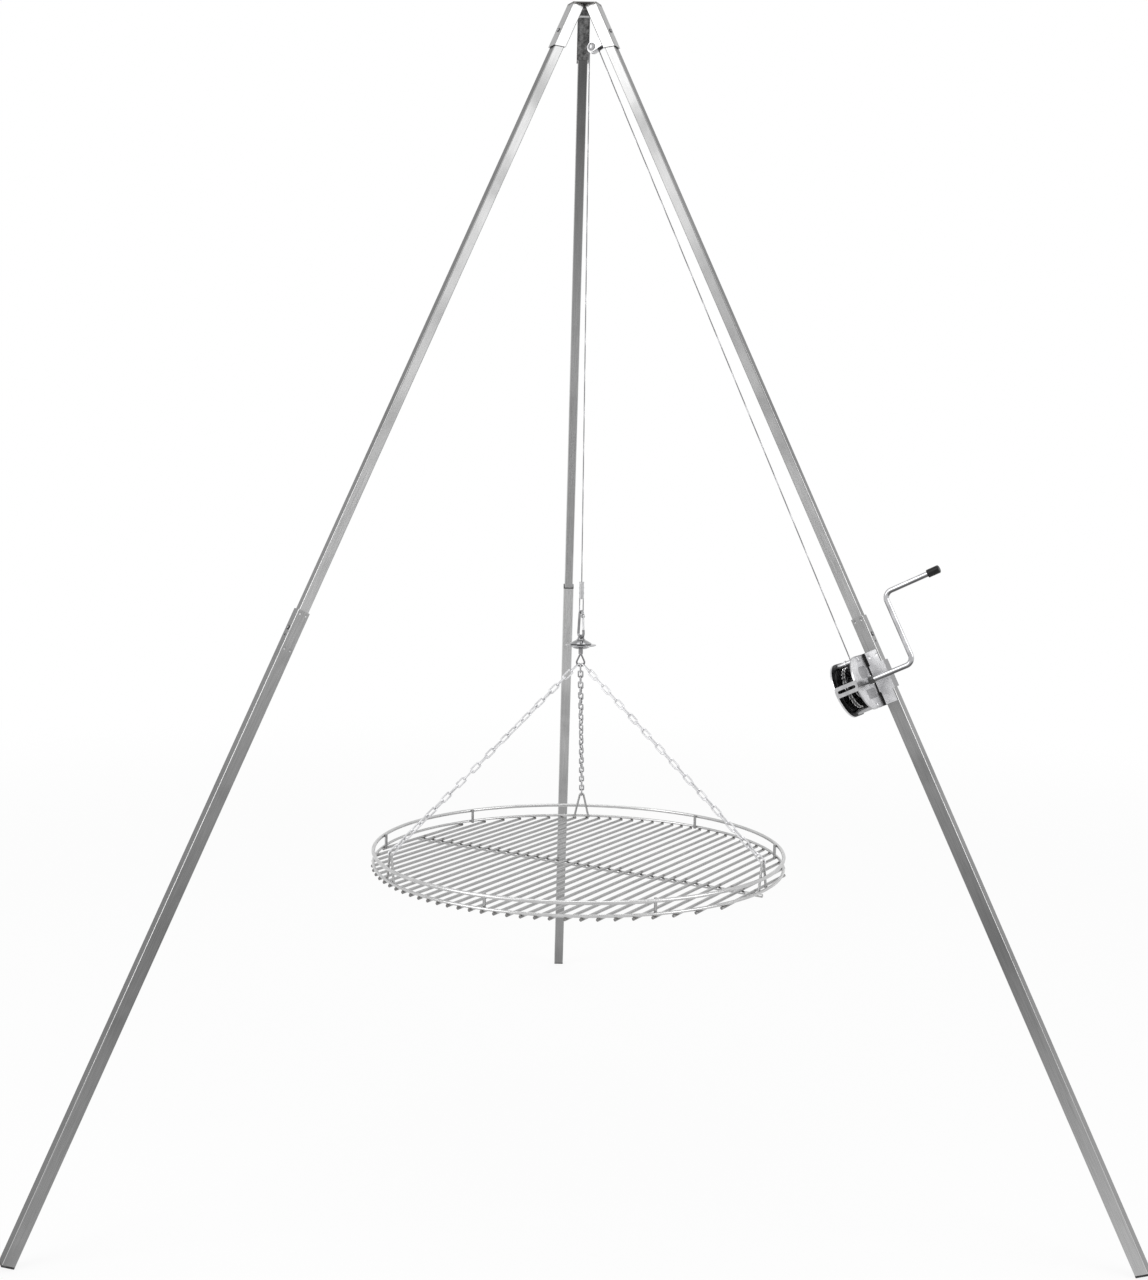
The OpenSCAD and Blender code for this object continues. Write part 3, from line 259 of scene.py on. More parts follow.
legPlaces = {side: legPlace(side) for side in azimuths}
winchPlace = legPlaces["right"] @ Matrix.Translation((0, -winch["offLeg"], winch["along"]))
winchAxis = winchPlace.to_3x3() @ Vector((1, 0, 0))
barWay = outOf(azimuths["right"] + grate["turn"] + 90)

# Finishes: what a user would change is in each finish's own dictionary. A noise is given as scale,
# detail and roughness, and a bump as strength and depth.
usualNoise = (0.3, 0.7)  # most values of a noise lie between these


def newFinish(name, metallic, coat=0.0):
    material = bpy.data.materials.new(name)
    material.use_nodes = True
    shader = material.node_tree.nodes["Principled BSDF"]
    shader.inputs["Metallic"].default_value = metallic
    shader.inputs["Coat Weight"].default_value = coat
    return material, material.node_tree, shader


def connect(tree, shader, **sockets):
    for name, socket in sockets.items():
        tree.links.new(socket, shader.inputs[name.replace("_", " ")])


def dimmed(colour, share):
    return tuple(c * share for c in colour[:3]) + (1,)


def darkToPale(tree, share, look, brightness=1.0):
    return blendColour(tree, share, dimmed(look["dark"], brightness), dimmed(look["pale"], brightness))


def stretched(tree, point, direction, lineLength, lineWidth):
    ahead = Vector(direction).normalized()
    side = ahead.orthogonal().normalized()
    other = ahead.cross(side)
    parts = {0: along(tree, point, side / lineWidth), 1: along(tree, point, other / lineWidth),
             2: along(tree, point, ahead / lineLength)}
    return addNode(tree, "ShaderNodeCombineXYZ", None, parts).outputs[0]


# edge is a painted highlight for the rounded corners; shade and mouth are painted shade
brushedTube = {
    "dark": (0.20, 0.20, 0.20, 1), "pale": (0.34, 0.34, 0.34, 1), "worn": (0.17, 0.17, 0.17, 1),
    "edge": (0.85, 0.85, 0.85, 1), "shade": (0.10, 0.10, 0.10, 1), "mouth": (0.01, 0.01, 0.01, 1),
    "lineLength": 0.045, "lineWidth": 0.00035, "lines": (1.0, 4.0, 0.6),
    "scratchLength": 0.018, "scratchWidth": 0.0011, "scratches": (1.0, 2.0),
    "scratchFrom": (0.66, 0.74), "scratchShare": 0.35, "scratchDepth": 0.5,
    "patches": (9.0, 3.0), "patchFrom": (0.52, 0.72), "patchShare": 0.5,
    "patchDullFrom": (0.4, 0.7), "patchDull": (-0.03, 0.08),
    "roughness": (0.20, 0.36), "bump": (0.35, 0.00006),
    "cornerFrom": (0.35, 0.65), "cornerHighlightShare": 0.5, "mouthFrom": 0.9, "outsideFrom": (0.6, 0.9),
}
outsideShade = {  # share of the shade on the outer side, at the low and the high end
    "upper": {"left": (0.7, 0.75), "right": (0.5, 0.6), "rear": (0.0, 0.0)},
    "lower": {"left": (0.95, 0.55), "right": (0.75, 0.0), "rear": (0.0, 0.0)},
}
# Painted light and shade along each tube, given per stage and leg
paintedTubeLight = {  # brightness at the low end, in the middle and at the high end
    "upper": {"left": (1.6, 0.75, 0.97), "right": (1.3, 0.5, 1.0), "rear": (1.5, 1.28, 0.4)},
    "lower": {"left": (1.1, 0.68, 1.18), "right": (1.65, 0.6, 1.1), "rear": (0.95, 1.3, 2.0)},
    "hub": {"rear": (1.3, 1.3, 1.3)},
}
tubeSpans = {"upper": (1.0, 2.0), "lower": (0.0, 1.0), "hub": (0.0, 1.0)}  # along the leg
# the pale band is a painted highlight on the rear sleeve, and the corner values give painted shade on the
# right sleeve's inner corner faces
hubSteel = {
    "scale": (0.055, 0.055, 0.055, 1), "scales": (150.0, 5.0, 0.7), "scaleFrom": (0.35, 0.62),
    "scaleShare": (0.45, 1.0), "behindAxis": 0.006,
    "band": (0.55, 0.55, 0.55, 1), "bandDown": 0.0137, "bandFade": (0.0006, 0.0018), "bandShare": 0.9,
    "topDark": (0.06, 0.055, 0.05, 1), "topDarkDown": (0.006, 0.0015), "topDarkShare": 0.8,
    "wave": (160.0, 3.0), "waveHeight": 0.0022, "cornerFrom": (0.78, 0.92), "cornerShadeShare": 0.95,
}


def tubeLightAndShade(tree, colour, place, length, shadeShares):
    # painted highlight on its rounded corners, painted shade on its outer side and at its open end
    look = brushedTube
    outward, sideways, direction = place.to_3x3().col
    shade = remap(tree, length, 0.0, 1.0, *shadeShares)
    outside = calculate(tree, "MULTIPLY", remap(tree, facing(tree, outward), *look["outsideFrom"]), shade)
    colour = blendColour(tree, outside, colour, look["shade"])
    turnedBy = [calculate(tree, "ABSOLUTE", facing(tree, way)) for way in (outward, sideways)]
    turned = calculate(tree, "MINIMUM", *turnedBy)
    corner = remap(tree, turned, *look["cornerFrom"], 0.0, look["cornerHighlightShare"], True)
    colour = blendColour(tree, corner, colour, look["edge"])
    mouth = calculate(tree, "GREATER_THAN", facing(tree, direction), look["mouthFrom"])
    return blendColour(tree, mouth, colour, look["mouth"])


def hubScaleAndLight(tree, colour, point):
    # scale on the rear sleeve, a painted highlight band on it, painted shade on the right sleeve's inner
    # corner faces, steel darker towards the top weld
    look = hubSteel
    top = tripod["height"]
    scale = remap(tree, noise(tree, point, *look["scales"]), *look["scaleFrom"], *look["scaleShare"])
    rear = calculate(tree, "GREATER_THAN", along(tree, point, (0, 1, 0)), axisY + look["behindAxis"])
    colour = blendColour(tree, calculate(tree, "MULTIPLY", scale, rear), colour, look["scale"])
    height = addNode(tree, "ShaderNodeSeparateXYZ", None, {0: point}).outputs[2]
    offBand = distanceFrom(tree, height, top - look["bandDown"])
    band = remap(tree, offBand, *look["bandFade"], look["bandShare"], 0.0)
    colour = blendColour(tree, calculate(tree, "MULTIPLY", band, rear), colour, look["band"])
    innerCorner = legPlaces["right"].to_3x3() @ Vector((-1, -1, 0)).normalized()
    corner = remap(tree, facing(tree, innerCorner), *look["cornerFrom"], 0.0, look["cornerShadeShare"], True)
    colour = blendColour(tree, corner, colour, brushedTube["mouth"])
    wave = remap(tree, noise(tree, point, *look["wave"]), *usualNoise, -look["waveHeight"],
                 look["waveHeight"])
    start, full = [top - down for down in look["topDarkDown"]]
    topDark = remap(tree, calculate(tree, "ADD", height, wave), start, full, 0.0, look["topDarkShare"], True)
    return blendColour(tree, topDark, colour, look["topDark"])


def makeBrushedTube(name, place, stage="hub", side="rear"):
    look = brushedTube
    lowEnd, highEnd = tubeSpans[stage]
    material, tree, shader = newFinish(name, 1.0)
    point = placeOn(tree)
    direction = place.to_3x3() @ up
    foot = place.translation.dot(direction)
    length = remap(tree, along(tree, point, direction), foot + lowEnd, foot + highEnd)
    lowHalf, highHalf = [remap(tree, length, start, start + 0.5) for start in (0.0, 0.5)]
    # painted light and shade: the tone grows brighter or darker along the tube
    tones = []
    for tone in ("dark", "pale", "worn"):
        low, middle, high = [dimmed(look[tone], share) for share in paintedTubeLight[stage][side]]
        tones.append(blendColour(tree, highHalf, blendColour(tree, lowHalf, low, middle), high))
    darkTone, paleTone, wornTone = tones
    grain = stretched(tree, point, direction, look["lineLength"], look["lineWidth"])
    lines = noise(tree, grain, *look["lines"])
    colour = blendColour(tree, remap(tree, lines, *usualNoise), darkTone, paleTone)
    patches = noise(tree, point, *look["patches"])
    dulled = remap(tree, patches, *look["patchFrom"], 0.0, look["patchShare"], True)
    colour = blendColour(tree, dulled, colour, wornTone)
    scratchGrain = stretched(tree, point, direction, look["scratchLength"], look["scratchWidth"])
    scratched = noise(tree, scratchGrain, *look["scratches"])
    scratches = remap(tree, scratched, *look["scratchFrom"], smooth=True)
    colour = blendColour(tree, calculate(tree, "MULTIPLY", scratches, look["scratchShare"]), colour, paleTone)
    if stage == "hub":
        colour = hubScaleAndLight(tree, colour, point)
    else:
        colour = tubeLightAndShade(tree, colour, place, length, outsideShade[stage][side])
    dull = remap(tree, lines, *usualNoise, *look["roughness"])
    dull = calculate(tree, "ADD", dull, remap(tree, patches, *look["patchDullFrom"], *look["patchDull"]))
    depth = calculate(tree, "MULTIPLY", scratches, look["scratchDepth"])
    height = calculate(tree, "SUBTRACT", lines, depth)
    connect(tree, shader, Base_Color=colour, Roughness=dull, Normal=bump(tree, height, *look["bump"]))
    return material


zincPlate = {
    "dark": (0.50, 0.50, 0.51, 1), "pale": (0.66, 0.66, 0.67, 1), "insideShade": (0.03, 0.03, 0.032, 1),
    "pressed": (0.16, 0.16, 0.165, 1), "outside": (0.20, 0.20, 0.205, 1),
    "spangles": 420.0, "spangleFrom": (0.1, 0.7), "spangleShare": (0.8, 1.3),
    "cloud": (60.0, 4.0), "cloudFrom": (0.3, 0.75), "roughness": (0.28, 0.42),
    "grit": (2600.0, 2.0), "bump": (0.22, 0.00006), "insideShadeFrom": 0.7,
    "pressedFrom": (-0.0145, -0.0143), "pressedShare": 0.6, "outsideFrom": (0.6, 0.9), "outsideShare": 0.85,
}


def makeZinc(name, brightness=1.0, shadedInside=False, pressedDish=False, shadedOutside=False):
    look = zincPlate
    material, tree, shader = newFinish(name, 1.0)
    point = placeOn(tree)
    cells = addNode(tree, "ShaderNodeTexVoronoi", {"feature": "SMOOTH_F1"},
                    {"Vector": point, "Scale": look["spangles"]}).outputs["Distance"]
    spangles = remap(tree, cells, *look["spangleFrom"], *look["spangleShare"])
    cloud = noise(tree, point, *look["cloud"])
    share = remap(tree, calculate(tree, "MULTIPLY", cloud, spangles), *look["cloudFrom"])
    colour = darkToPale(tree, share, look, brightness)
    if shadedInside:
        # painted shade on the plate's face inside the winch
        insideShade = calculate(tree, "GREATER_THAN", facing(tree, winchAxis), look["insideShadeFrom"])
        colour = blendColour(tree, insideShade, colour, look["insideShade"])
    if pressedDish:  # painted shade in the pressed dish
        start = winchPlace.translation.dot(winchAxis)
        depth = calculate(tree, "SUBTRACT", along(tree, point, winchAxis), start)
        field = remap(tree, depth, *look["pressedFrom"], look["pressedShare"], 0.0)
        colour = blendColour(tree, field, colour, look["pressed"])
    if shadedOutside:  # painted shade on the side that is turned away from the grill
        outward = legPlaces["right"].to_3x3() @ Vector((1, 0, 0))
        outside = remap(tree, facing(tree, outward), *look["outsideFrom"], 0.0, look["outsideShare"])
        colour = blendColour(tree, outside, colour, look["outside"])
    dull = remap(tree, cloud, *usualNoise, *look["roughness"])
    grit = noise(tree, point, *look["grit"])
    connect(tree, shader, Base_Color=colour, Roughness=dull, Normal=bump(tree, grit, *look["bump"]))
    return material


polished = {
    "dark": (0.22, 0.22, 0.225, 1), "pale": (0.40, 0.40, 0.41, 1), "rodShade": (0.05, 0.05, 0.05, 1),
    "haze": (45.0, 4.0), "hair": (1400.0, 3.0, 0.7), "roughness": (0.09, 0.2), "bump": (0.12, 0.00004),
    "underFrom": (-0.05, -0.4), "underShare": 0.85, "aboveFrom": (0.75, 0.95), "aboveShare": 0.6,
}


def makePolished(name, brightness=1.0, paintedRodShade=False):
    look = polished
    material, tree, shader = newFinish(name, 1.0)
    point = placeOn(tree)
    haze = noise(tree, point, *look["haze"])
    colour = darkToPale(tree, remap(tree, haze, *usualNoise), look, brightness)
    if paintedRodShade:  # painted shade underneath and a painted dark reflection along its top
        rise = facing(tree, up)
        under = remap(tree, rise, *look["underFrom"], 0.0, look["underShare"], True)
        above = remap(tree, rise, *look["aboveFrom"], 0.0, look["aboveShare"], True)
        colour = blendColour(tree, calculate(tree, "MAXIMUM", under, above), colour, look["rodShade"])
    dull = remap(tree, haze, *usualNoise, *look["roughness"])
    hair = noise(tree, point, *look["hair"])
    connect(tree, shader, Base_Color=colour, Roughness=dull, Normal=bump(tree, hair, *look["bump"]))
    return material


grateWire = {
    "dark": (0.26, 0.26, 0.26, 1), "pale": (0.52, 0.52, 0.52, 1), "burnt": (0.08, 0.075, 0.07, 1),
    "lineLength": 0.030, "lineWidth": 0.0004, "lines": (1.0, 3.0, 0.6), "cloud": (25.0, 3.0),
    "dullFrom": (0.7, 1.3), "roughness": (0.18, 0.34), "bump": (0.3, 0.00005),
    "markReach": 0.0035, "wave": (220.0, 2.0), "waveShare": (0.6, 1.4), "markFade": (0.5, 1.6),
    # the rings get a lighter copy of the wire colour, painted light
    "markShare": 0.55, "brightness": {"ring": 1.35, "bars": 1.0, "cross": 1.0, "posts": 1.0},
}


def makeGrateWire(name, kind):
    look = grateWire
    material, tree, shader = newFinish(name, 1.0)
    point = placeOn(tree)
    local = countedFrom(tree, point, hoistAxis)
    split = addNode(tree, "ShaderNodeSeparateXYZ", None, {0: local}).outputs
    flat = addNode(tree, "ShaderNodeCombineXYZ", None, {0: split[0], 1: split[1]}).outputs[0]
    radius = lengthOf(tree, flat)
    if kind == "ring":
        turn = calculate(tree, "ARCTAN2", split[1], split[0])
        lengthwise = calculate(tree, "MULTIPLY", turn, grate["ringRadius"] / look["lineLength"])
        grain = addNode(tree, "ShaderNodeCombineXYZ", None, {
            0: calculate(tree, "DIVIDE", radius, look["lineWidth"]),
            1: calculate(tree, "DIVIDE", split[2], look["lineWidth"]), 2: lengthwise}).outputs[0]
    else:
        way = {"bars": barWay, "cross": up.cross(barWay), "posts": up}[kind]
        grain = stretched(tree, point, way, look["lineLength"], look["lineWidth"])
    lines = noise(tree, grain, *look["lines"])
    colour = darkToPale(tree, remap(tree, lines, *usualNoise), look, look["brightness"][kind])
    if kind == "bars":  # heat marks where the bars are welded to the ring and to the cross bar
        edge = distanceFrom(tree, radius, grate["ringRadius"])
        middle = calculate(tree, "ABSOLUTE", along(tree, local, barWay))
        near = calculate(tree, "MINIMUM", edge, middle)
        wave = remap(tree, noise(tree, point, *look["wave"]), *usualNoise, *look["waveShare"])
        reach = calculate(tree, "MULTIPLY", wave, look["markReach"])
        share = calculate(tree, "DIVIDE", near, reach)
        mark = remap(tree, share, *look["markFade"], look["markShare"], 0.0, True)
        colour = blendColour(tree, mark, colour, look["burnt"])
    cloud = noise(tree, point, *look["cloud"])
    dull = remap(tree, calculate(tree, "ADD", lines, cloud), *look["dullFrom"], *look["roughness"])
    connect(tree, shader, Base_Color=colour, Roughness=dull, Normal=bump(tree, lines, *look["bump"]))
    return material


weldMetal = {"dark": (0.11, 0.108, 0.105, 1), "pale": (0.34, 0.33, 0.32, 1), "scale": (900.0, 4.0),
             "scaleFrom": (0.35, 0.65), "roughness": (0.55, 0.3), "bump": (0.5, 0.0002)}


def makeWeldMetal(name):
    look = weldMetal
    material, tree, shader = newFinish(name, 1.0)
    scale = noise(tree, placeOn(tree), *look["scale"])
    colour = darkToPale(tree, remap(tree, scale, *look["scaleFrom"]), look)
    dull = remap(tree, scale, *usualNoise, *look["roughness"])
    connect(tree, shader, Base_Color=colour, Roughness=dull, Normal=bump(tree, scale, *look["bump"]))
    return material


blackPaint = {
    "paint": (0.012, 0.012, 0.013, 1), "dust": (0.05, 0.05, 0.05, 1), "steel": (0.85, 0.85, 0.85, 1),
    "coat": 0.4, "coatRoughness": 0.12, "peel": (700.0, 3.0), "cloud": (70.0, 4.0),
    "dustFrom": (0.4, 0.75), "dustShare": 0.6, "roughness": (0.22, 0.42), "bump": (0.15, 0.0001),
    "teeth": (-0.0363, -0.0313), "edge": 0.0005, "worn": (0.0296, 0.0306), "ragged": 0.0004,
}


def bareTeeth(tree, point, peel):
    # 1 along the edges of the ratchet's teeth, 0 elsewhere
    look = blackPaint
    local = countedFrom(tree, point, winchPlace.translation)
    reach = along(tree, local, winchAxis)
    length = lengthOf(tree, local)
    square = calculate(tree, "SUBTRACT", calculate(tree, "MULTIPLY", length, length),
                       calculate(tree, "MULTIPLY", reach, reach))
    rough = remap(tree, peel, *usualNoise, -look["ragged"], look["ragged"])
    radius = calculate(tree, "ADD", calculate(tree, "SQRT", square), rough)
    edges = [distanceFrom(tree, reach, side) for side in look["teeth"]]
    toothed = calculate(tree, "LESS_THAN", calculate(tree, "MINIMUM", *edges), look["edge"])
    return calculate(tree, "MULTIPLY", remap(tree, radius, *look["worn"]), toothed)


def makeBlackPaint(name, wornTeeth=False):
    look = blackPaint
    material, tree, shader = newFinish(name, 0.0, look["coat"])
    shader.inputs["Coat Roughness"].default_value = look["coatRoughness"]
    point = placeOn(tree)
    peel = noise(tree, point, *look["peel"])
    cloud = noise(tree, point, *look["cloud"])
    dusty = remap(tree, cloud, *look["dustFrom"], 0.0, look["dustShare"])
    colour = blendColour(tree, dusty, look["paint"], look["dust"])
    if wornTeeth:  # the ratchet has rubbed the paint off its teeth
        bare = bareTeeth(tree, point, peel)
        colour = blendColour(tree, bare, colour, look["steel"])
        connect(tree, shader, Metallic=bare)
    dull = remap(tree, cloud, *usualNoise, *look["roughness"])
    connect(tree, shader, Base_Color=colour, Roughness=dull, Normal=bump(tree, peel, *look["bump"]))
    return material


mouldedBlack = {"black": (0.004, 0.004, 0.004, 1), "scuffed": (0.02, 0.02, 0.021, 1), "gloss": 0.25,
                "grain": (1800.0, 3.0, 0.65), "scuffs": (130.0, 5.0), "scuffFrom": (0.5, 0.75),
                "scuffShare": 0.8, "roughness": (0.3, 0.5), "bump": (0.4, 0.00012)}


def makeMouldedBlack(name, brightness=1.0):
    look = mouldedBlack
    material, tree, shader = newFinish(name, 0.0)
    shader.inputs["Specular IOR Level"].default_value = look["gloss"]
    point = placeOn(tree)
    scuffs = remap(tree, noise(tree, point, *look["scuffs"]), *look["scuffFrom"], 0.0, look["scuffShare"])
    black, scuffed = [dimmed(look[tone], brightness) for tone in ("black", "scuffed")]
    colour = blendColour(tree, scuffs, black, scuffed)
    grain = noise(tree, point, *look["grain"])
    dull = remap(tree, grain, *usualNoise, *look["roughness"])
    connect(tree, shader, Base_Color=colour, Roughness=dull, Normal=bump(tree, grain, *look["bump"]))
    return material


ropeWire = {"dark": (0.20, 0.20, 0.205, 1), "pale": (0.42, 0.42, 0.43, 1), "wires": (1500.0, 3.0),
            "cloud": (90.0, 2.0), "roughness": (0.2, 0.4), "bump": (0.3, 0.0001)}


def makeRopeWire(name, brightness=1.0):
    look = ropeWire
    material, tree, shader = newFinish(name, 1.0)
    point = placeOn(tree)
    wires = noise(tree, point, *look["wires"])
    colour = darkToPale(tree, remap(tree, wires, *usualNoise), look, brightness)
    dull = remap(tree, noise(tree, point, *look["cloud"]), *usualNoise, *look["roughness"])
    connect(tree, shader, Base_Color=colour, Roughness=dull, Normal=bump(tree, wires, *look["bump"]))
    return material


finishes = {stage + side.title(): makeBrushedTube(stage + side.title(), legPlaces[side], stage, side)
            for stage in ("upper", "lower") for side in azimuths}
finishes.update({
    "hub": makeBrushedTube("brushedHub", legPlaces["rear"]),
    "zinc": makeZinc("zincPlate"),
    # the near winch plate gets a lighter copy of the zinc, painted light, with painted shade in its pressed
    # dish
    "nearPlate": makeZinc("zincNearPlate", 1.25, pressedDish=True),
    # the saddle gets a lighter copy of the zinc, painted light, with painted shade on its outer flank
    "saddle": makeZinc("saddleZinc", 1.2, shadedOutside=True),
    # the buttons get a darker copy of the zinc, painted shade
    "button": makeZinc("buttonZinc", 0.35),
    "zincShadedInside": makeZinc("zincShadedInside", shadedInside=True),
    # a darker copy of the zinc, painted shade, for the spacers, strap, pulley bracket and bolt
    "shadedZinc": makeZinc("shadedZinc", 0.7),
    # the rear chain and ferrule get a darker copy and the side chains a lighter copy of the chain zinc:
    # painted shade and painted light
    "chain": makeZinc("chainZinc", 0.8),
    "sideChain": makeZinc("sideChainZinc", 1.15),
    "polished": makePolished("polishedSteel"),
    "darkSteel": makePolished("darkSteel", 0.6),
    # the crank steel is a lighter copy of the polished steel, painted light
    "crank": makePolished("crankSteel", 1.6, paintedRodShade=True),
    "ring": makeGrateWire("grateRing", "ring"),
    "bars": makeGrateWire("grateBars", "bars"),
    "cross": makeGrateWire("grateCrossBar", "cross"),
    "posts": makeGrateWire("gratePosts", "posts"),
    "weld": makeWeldMetal("weldMetal"),
    "drum": makeBlackPaint("drumPaint", wornTeeth=True),
    "blackMetal": makeBlackPaint("blackPaint"),
    "plastic": makeMouldedBlack("mouldedBlack"),
    "dustyPlastic": makeMouldedBlack("dustyPlastic", 8.0),
    "rope": makeRopeWire("ropeWire"),
    # the wound rope is a darker copy of the rope wire, painted shade inside the winch
    "woundRope": makeRopeWire("woundRope", 0.2),
})
finishOf = {
    "hub": ["hub"],
    "zinc": ["hub_spring_clips", "leg_spring_clips", "winch_screws", "winch_mount_bolts", "crank_pins",
             "pawl", "pulley_wheel", "hook_gate", "hook_gate_pin"],
    "saddle": ["winch_saddle"],
    "shadedZinc": ["winch_spacers", "winch_strap", "pulley_bracket", "pulley_bolt"],
    "button": [stage + "_button_" + side for stage in ("hub", "leg") for side in azimuths],
    "darkSteel": ["chain_ring"],
    "chain": ["rope_ferrule", "chain_rear"],
    "sideChain": ["chain_left", "chain_right"],
    "polished": ["snap_hook", "swivel_cap", "swivel_disc"],
    "crank": ["crank_rod"],
    "ring": ["upper_ring", "lower_ring"],
    "bars": ["grill_bars"],
    "cross": ["cross_bar"],
    "posts": ["ring_posts", "hanger_left", "hanger_right", "hanger_rear"],
    "drum": ["drum"],
    "zincShadedInside": ["winch_plate_inner"],
    "nearPlate": ["winch_plate_outer"],
    # winch_back is a black wall between the winch plates; its black is painted shade for the dark inside of
    # the winch
    "blackMetal": ["crank_collar", "winch_back"],
    "plastic": ["winch_pad", "crank_cap"],
    "dustyPlastic": ["foot_plug_left", "foot_plug_right", "foot_plug_rear"],
    "rope": ["rope_run", "rope_lead_upper", "rope_lead_lower", "rope_drop", "rope_loop"],
    "woundRope": ["rope_coil"],
}
finishOf.update({stage + side.title(): [stage + "_leg_" + side]
                 for stage in ("upper", "lower") for side in azimuths})
for finish, names in finishOf.items():
    for name in names:
        slots = frame["nodes"][name].data.materials
        slots.clear()
        slots.append(finishes[finish])
print("stage: finishes on", sum(len(names) for names in finishOf.values()), "nodes")


# Shapes are gathered as points and faces, and become one piece each
def newShape():
    return {"points": [], "faces": []}


def turnsOf(count):
    return [2 * math.pi * k / count for k in range(count)]


def onCircle(radius, turn, height=0.0):
    return Vector((radius * math.cos(turn), radius * math.sin(turn), height))


def addBand(shape, low, high, sides):
    # faces between two rings of points, from the first point of each
    for k in range(sides):
        after = (k + 1) % sides
        shape["faces"].append((low + k, low + after, high + after, high + k))


def addCap(shape, first, sides, turnedOver=False):
    ring = tuple(range(first, first + sides))
    shape["faces"].append(ring[::-1] if turnedOver else ring)


def pathFrames(points):
    frames, side = [], None
    last = len(points) - 1
    for i, point in enumerate(points):
        ahead = (points[min(i + 1, last)] - points[max(i - 1, 0)]).normalized()
        side = ahead.orthogonal() if side is None else side - ahead * side.dot(ahead)
        side.normalize()
        frames.append((point, side.copy(), ahead.cross(side)))
    return frames


def addTube(shape, points, radius, sides):
    first, count = len(shape["points"]), len(points)
    for i, (centre, side, top) in enumerate(pathFrames(points)):
        size = radius(i / (count - 1)) if callable(radius) else radius
        for turn in turnsOf(sides):
            shape["points"].append(centre + (side * math.cos(turn) + top * math.sin(turn)) * size)
    for i in range(count - 1):
        addBand(shape, first + i * sides, first + (i + 1) * sides, sides)
    addCap(shape, first, sides, turnedOver=True)
    addCap(shape, first + (count - 1) * sides, sides)


def addLathe(shape, profile, place, segments=40):
    rings = []
    for radius, height in profile:
        onAxis = radius < 1e-7
        rings.append((len(shape["points"]), onAxis))
        if onAxis:
            shape["points"].append(place @ Vector((0, 0, height)))
            continue
        for turn in turnsOf(segments):
            shape["points"].append(place @ onCircle(radius, turn, height))
    for (low, lowOnAxis), (high, highOnAxis) in zip(rings, rings[1:]):
        if not lowOnAxis and not highOnAxis:
            addBand(shape, low, high, segments)
            continue
        for k in range(segments):
            after = (k + 1) % segments
            if not highOnAxis:
                shape["faces"].append((low, high + after, high + k))
            elif not lowOnAxis:
                shape["faces"].append((low + k, low + after, high))
    for first, onAxis in (rings[0], rings[-1]):
        if not onAxis:
            addCap(shape, first, segments)


def addBlob(shape, place, size, segments=10, rings=6):
    profile = [(math.sin(math.pi * i / rings), -math.cos(math.pi * i / rings)) for i in range(rings + 1)]
    addLathe(shape, profile, place @ Matrix.Diagonal((*size, 1)), segments)


def resampled(points, step):
    lengths = [(b - a).length for a, b in zip(points, points[1:])]
    total = sum(lengths)
    count = max(2, round(total / step))
    made, i, passed = [], 0, 0.0
    for k in range(count + 1):
        goal = total * k / count
        while i < len(lengths) - 1 and passed + lengths[i] < goal:
            passed += lengths[i]
            i += 1
        share = (goal - passed) / lengths[i]
        made.append(points[i].lerp(points[i + 1], min(1, share)))
    return made


sharpFrom = math.radians(35)


def makePiece(name, shape, finish, body, stands=()):
    mesh = bpy.data.meshes.new(name)
    mesh.from_pydata([tuple(p) for p in shape["points"]], [], shape["faces"])
    worked = bmesh.new()
    worked.from_mesh(mesh)
    bmesh.ops.recalc_face_normals(worked, faces=worked.faces)
    worked.to_mesh(mesh)
    worked.free()
    mesh.polygons.foreach_set("use_smooth", [True] * len(mesh.polygons))
    mesh.set_sharp_from_angle(angle=sharpFrom)
    mesh.materials.append(finishes[finish])
    piece = bpy.data.objects.new(name, mesh)
    scene.collection.objects.link(piece)
    if body:
        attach(piece, body)
    if stands:
        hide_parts(*stands)
    return piece


# Wire rope: six strands laid round a core
rope = {"diameter": 0.002, "strands": 6, "lay": 0.013, "ringsPerLay": 8, "sides": 6,
        "coreFill": 1.05, "strandFill": 1.02}


def addRope(shape, points, startTurn=0.0):
    path = resampled(points, rope["lay"] / rope["ringsPerLay"])
    strandRadius = rope["diameter"] / 6
    offset = rope["diameter"] / 2 - strandRadius
    frames = pathFrames(path)
    addTube(shape, path, strandRadius * rope["coreFill"], rope["sides"])
    step = (path[1] - path[0]).length
    for strand in range(rope["strands"]):
        laid = []
        for i, (centre, side, top) in enumerate(frames):
            turn = 2 * math.pi * (strand / rope["strands"] + i * step / rope["lay"]) + startTurn
            laid.append(centre + (side * math.cos(turn) + top * math.sin(turn)) * offset)
        addTube(shape, laid, strandRadius * rope["strandFill"], rope["sides"])


pulley = {"below": 0.068, "hoistOff": 0.0105, "ropeRadius": 0.007, "arcSteps": 40}
pulleyZ = tripod["height"] - pulley["below"]
pulleyR = pulley["hoistOff"] + pulley["ropeRadius"]
pulleyX = (pulleyR - footRadius) * math.cos(lean) + (pulleyZ - footHeight) * math.sin(lean)
pulleyS = (footRadius - pulleyR) * math.sin(lean) + (pulleyZ - footHeight) * math.cos(lean)

wound = {"wrap": 250, "runX": -0.0281, "layRadius": 0.0174, "coilX": -0.0300, "coilRadius": 0.0151,
         "turns": 3.5, "pitch": 0.0025, "stepsPerTurn": 36}


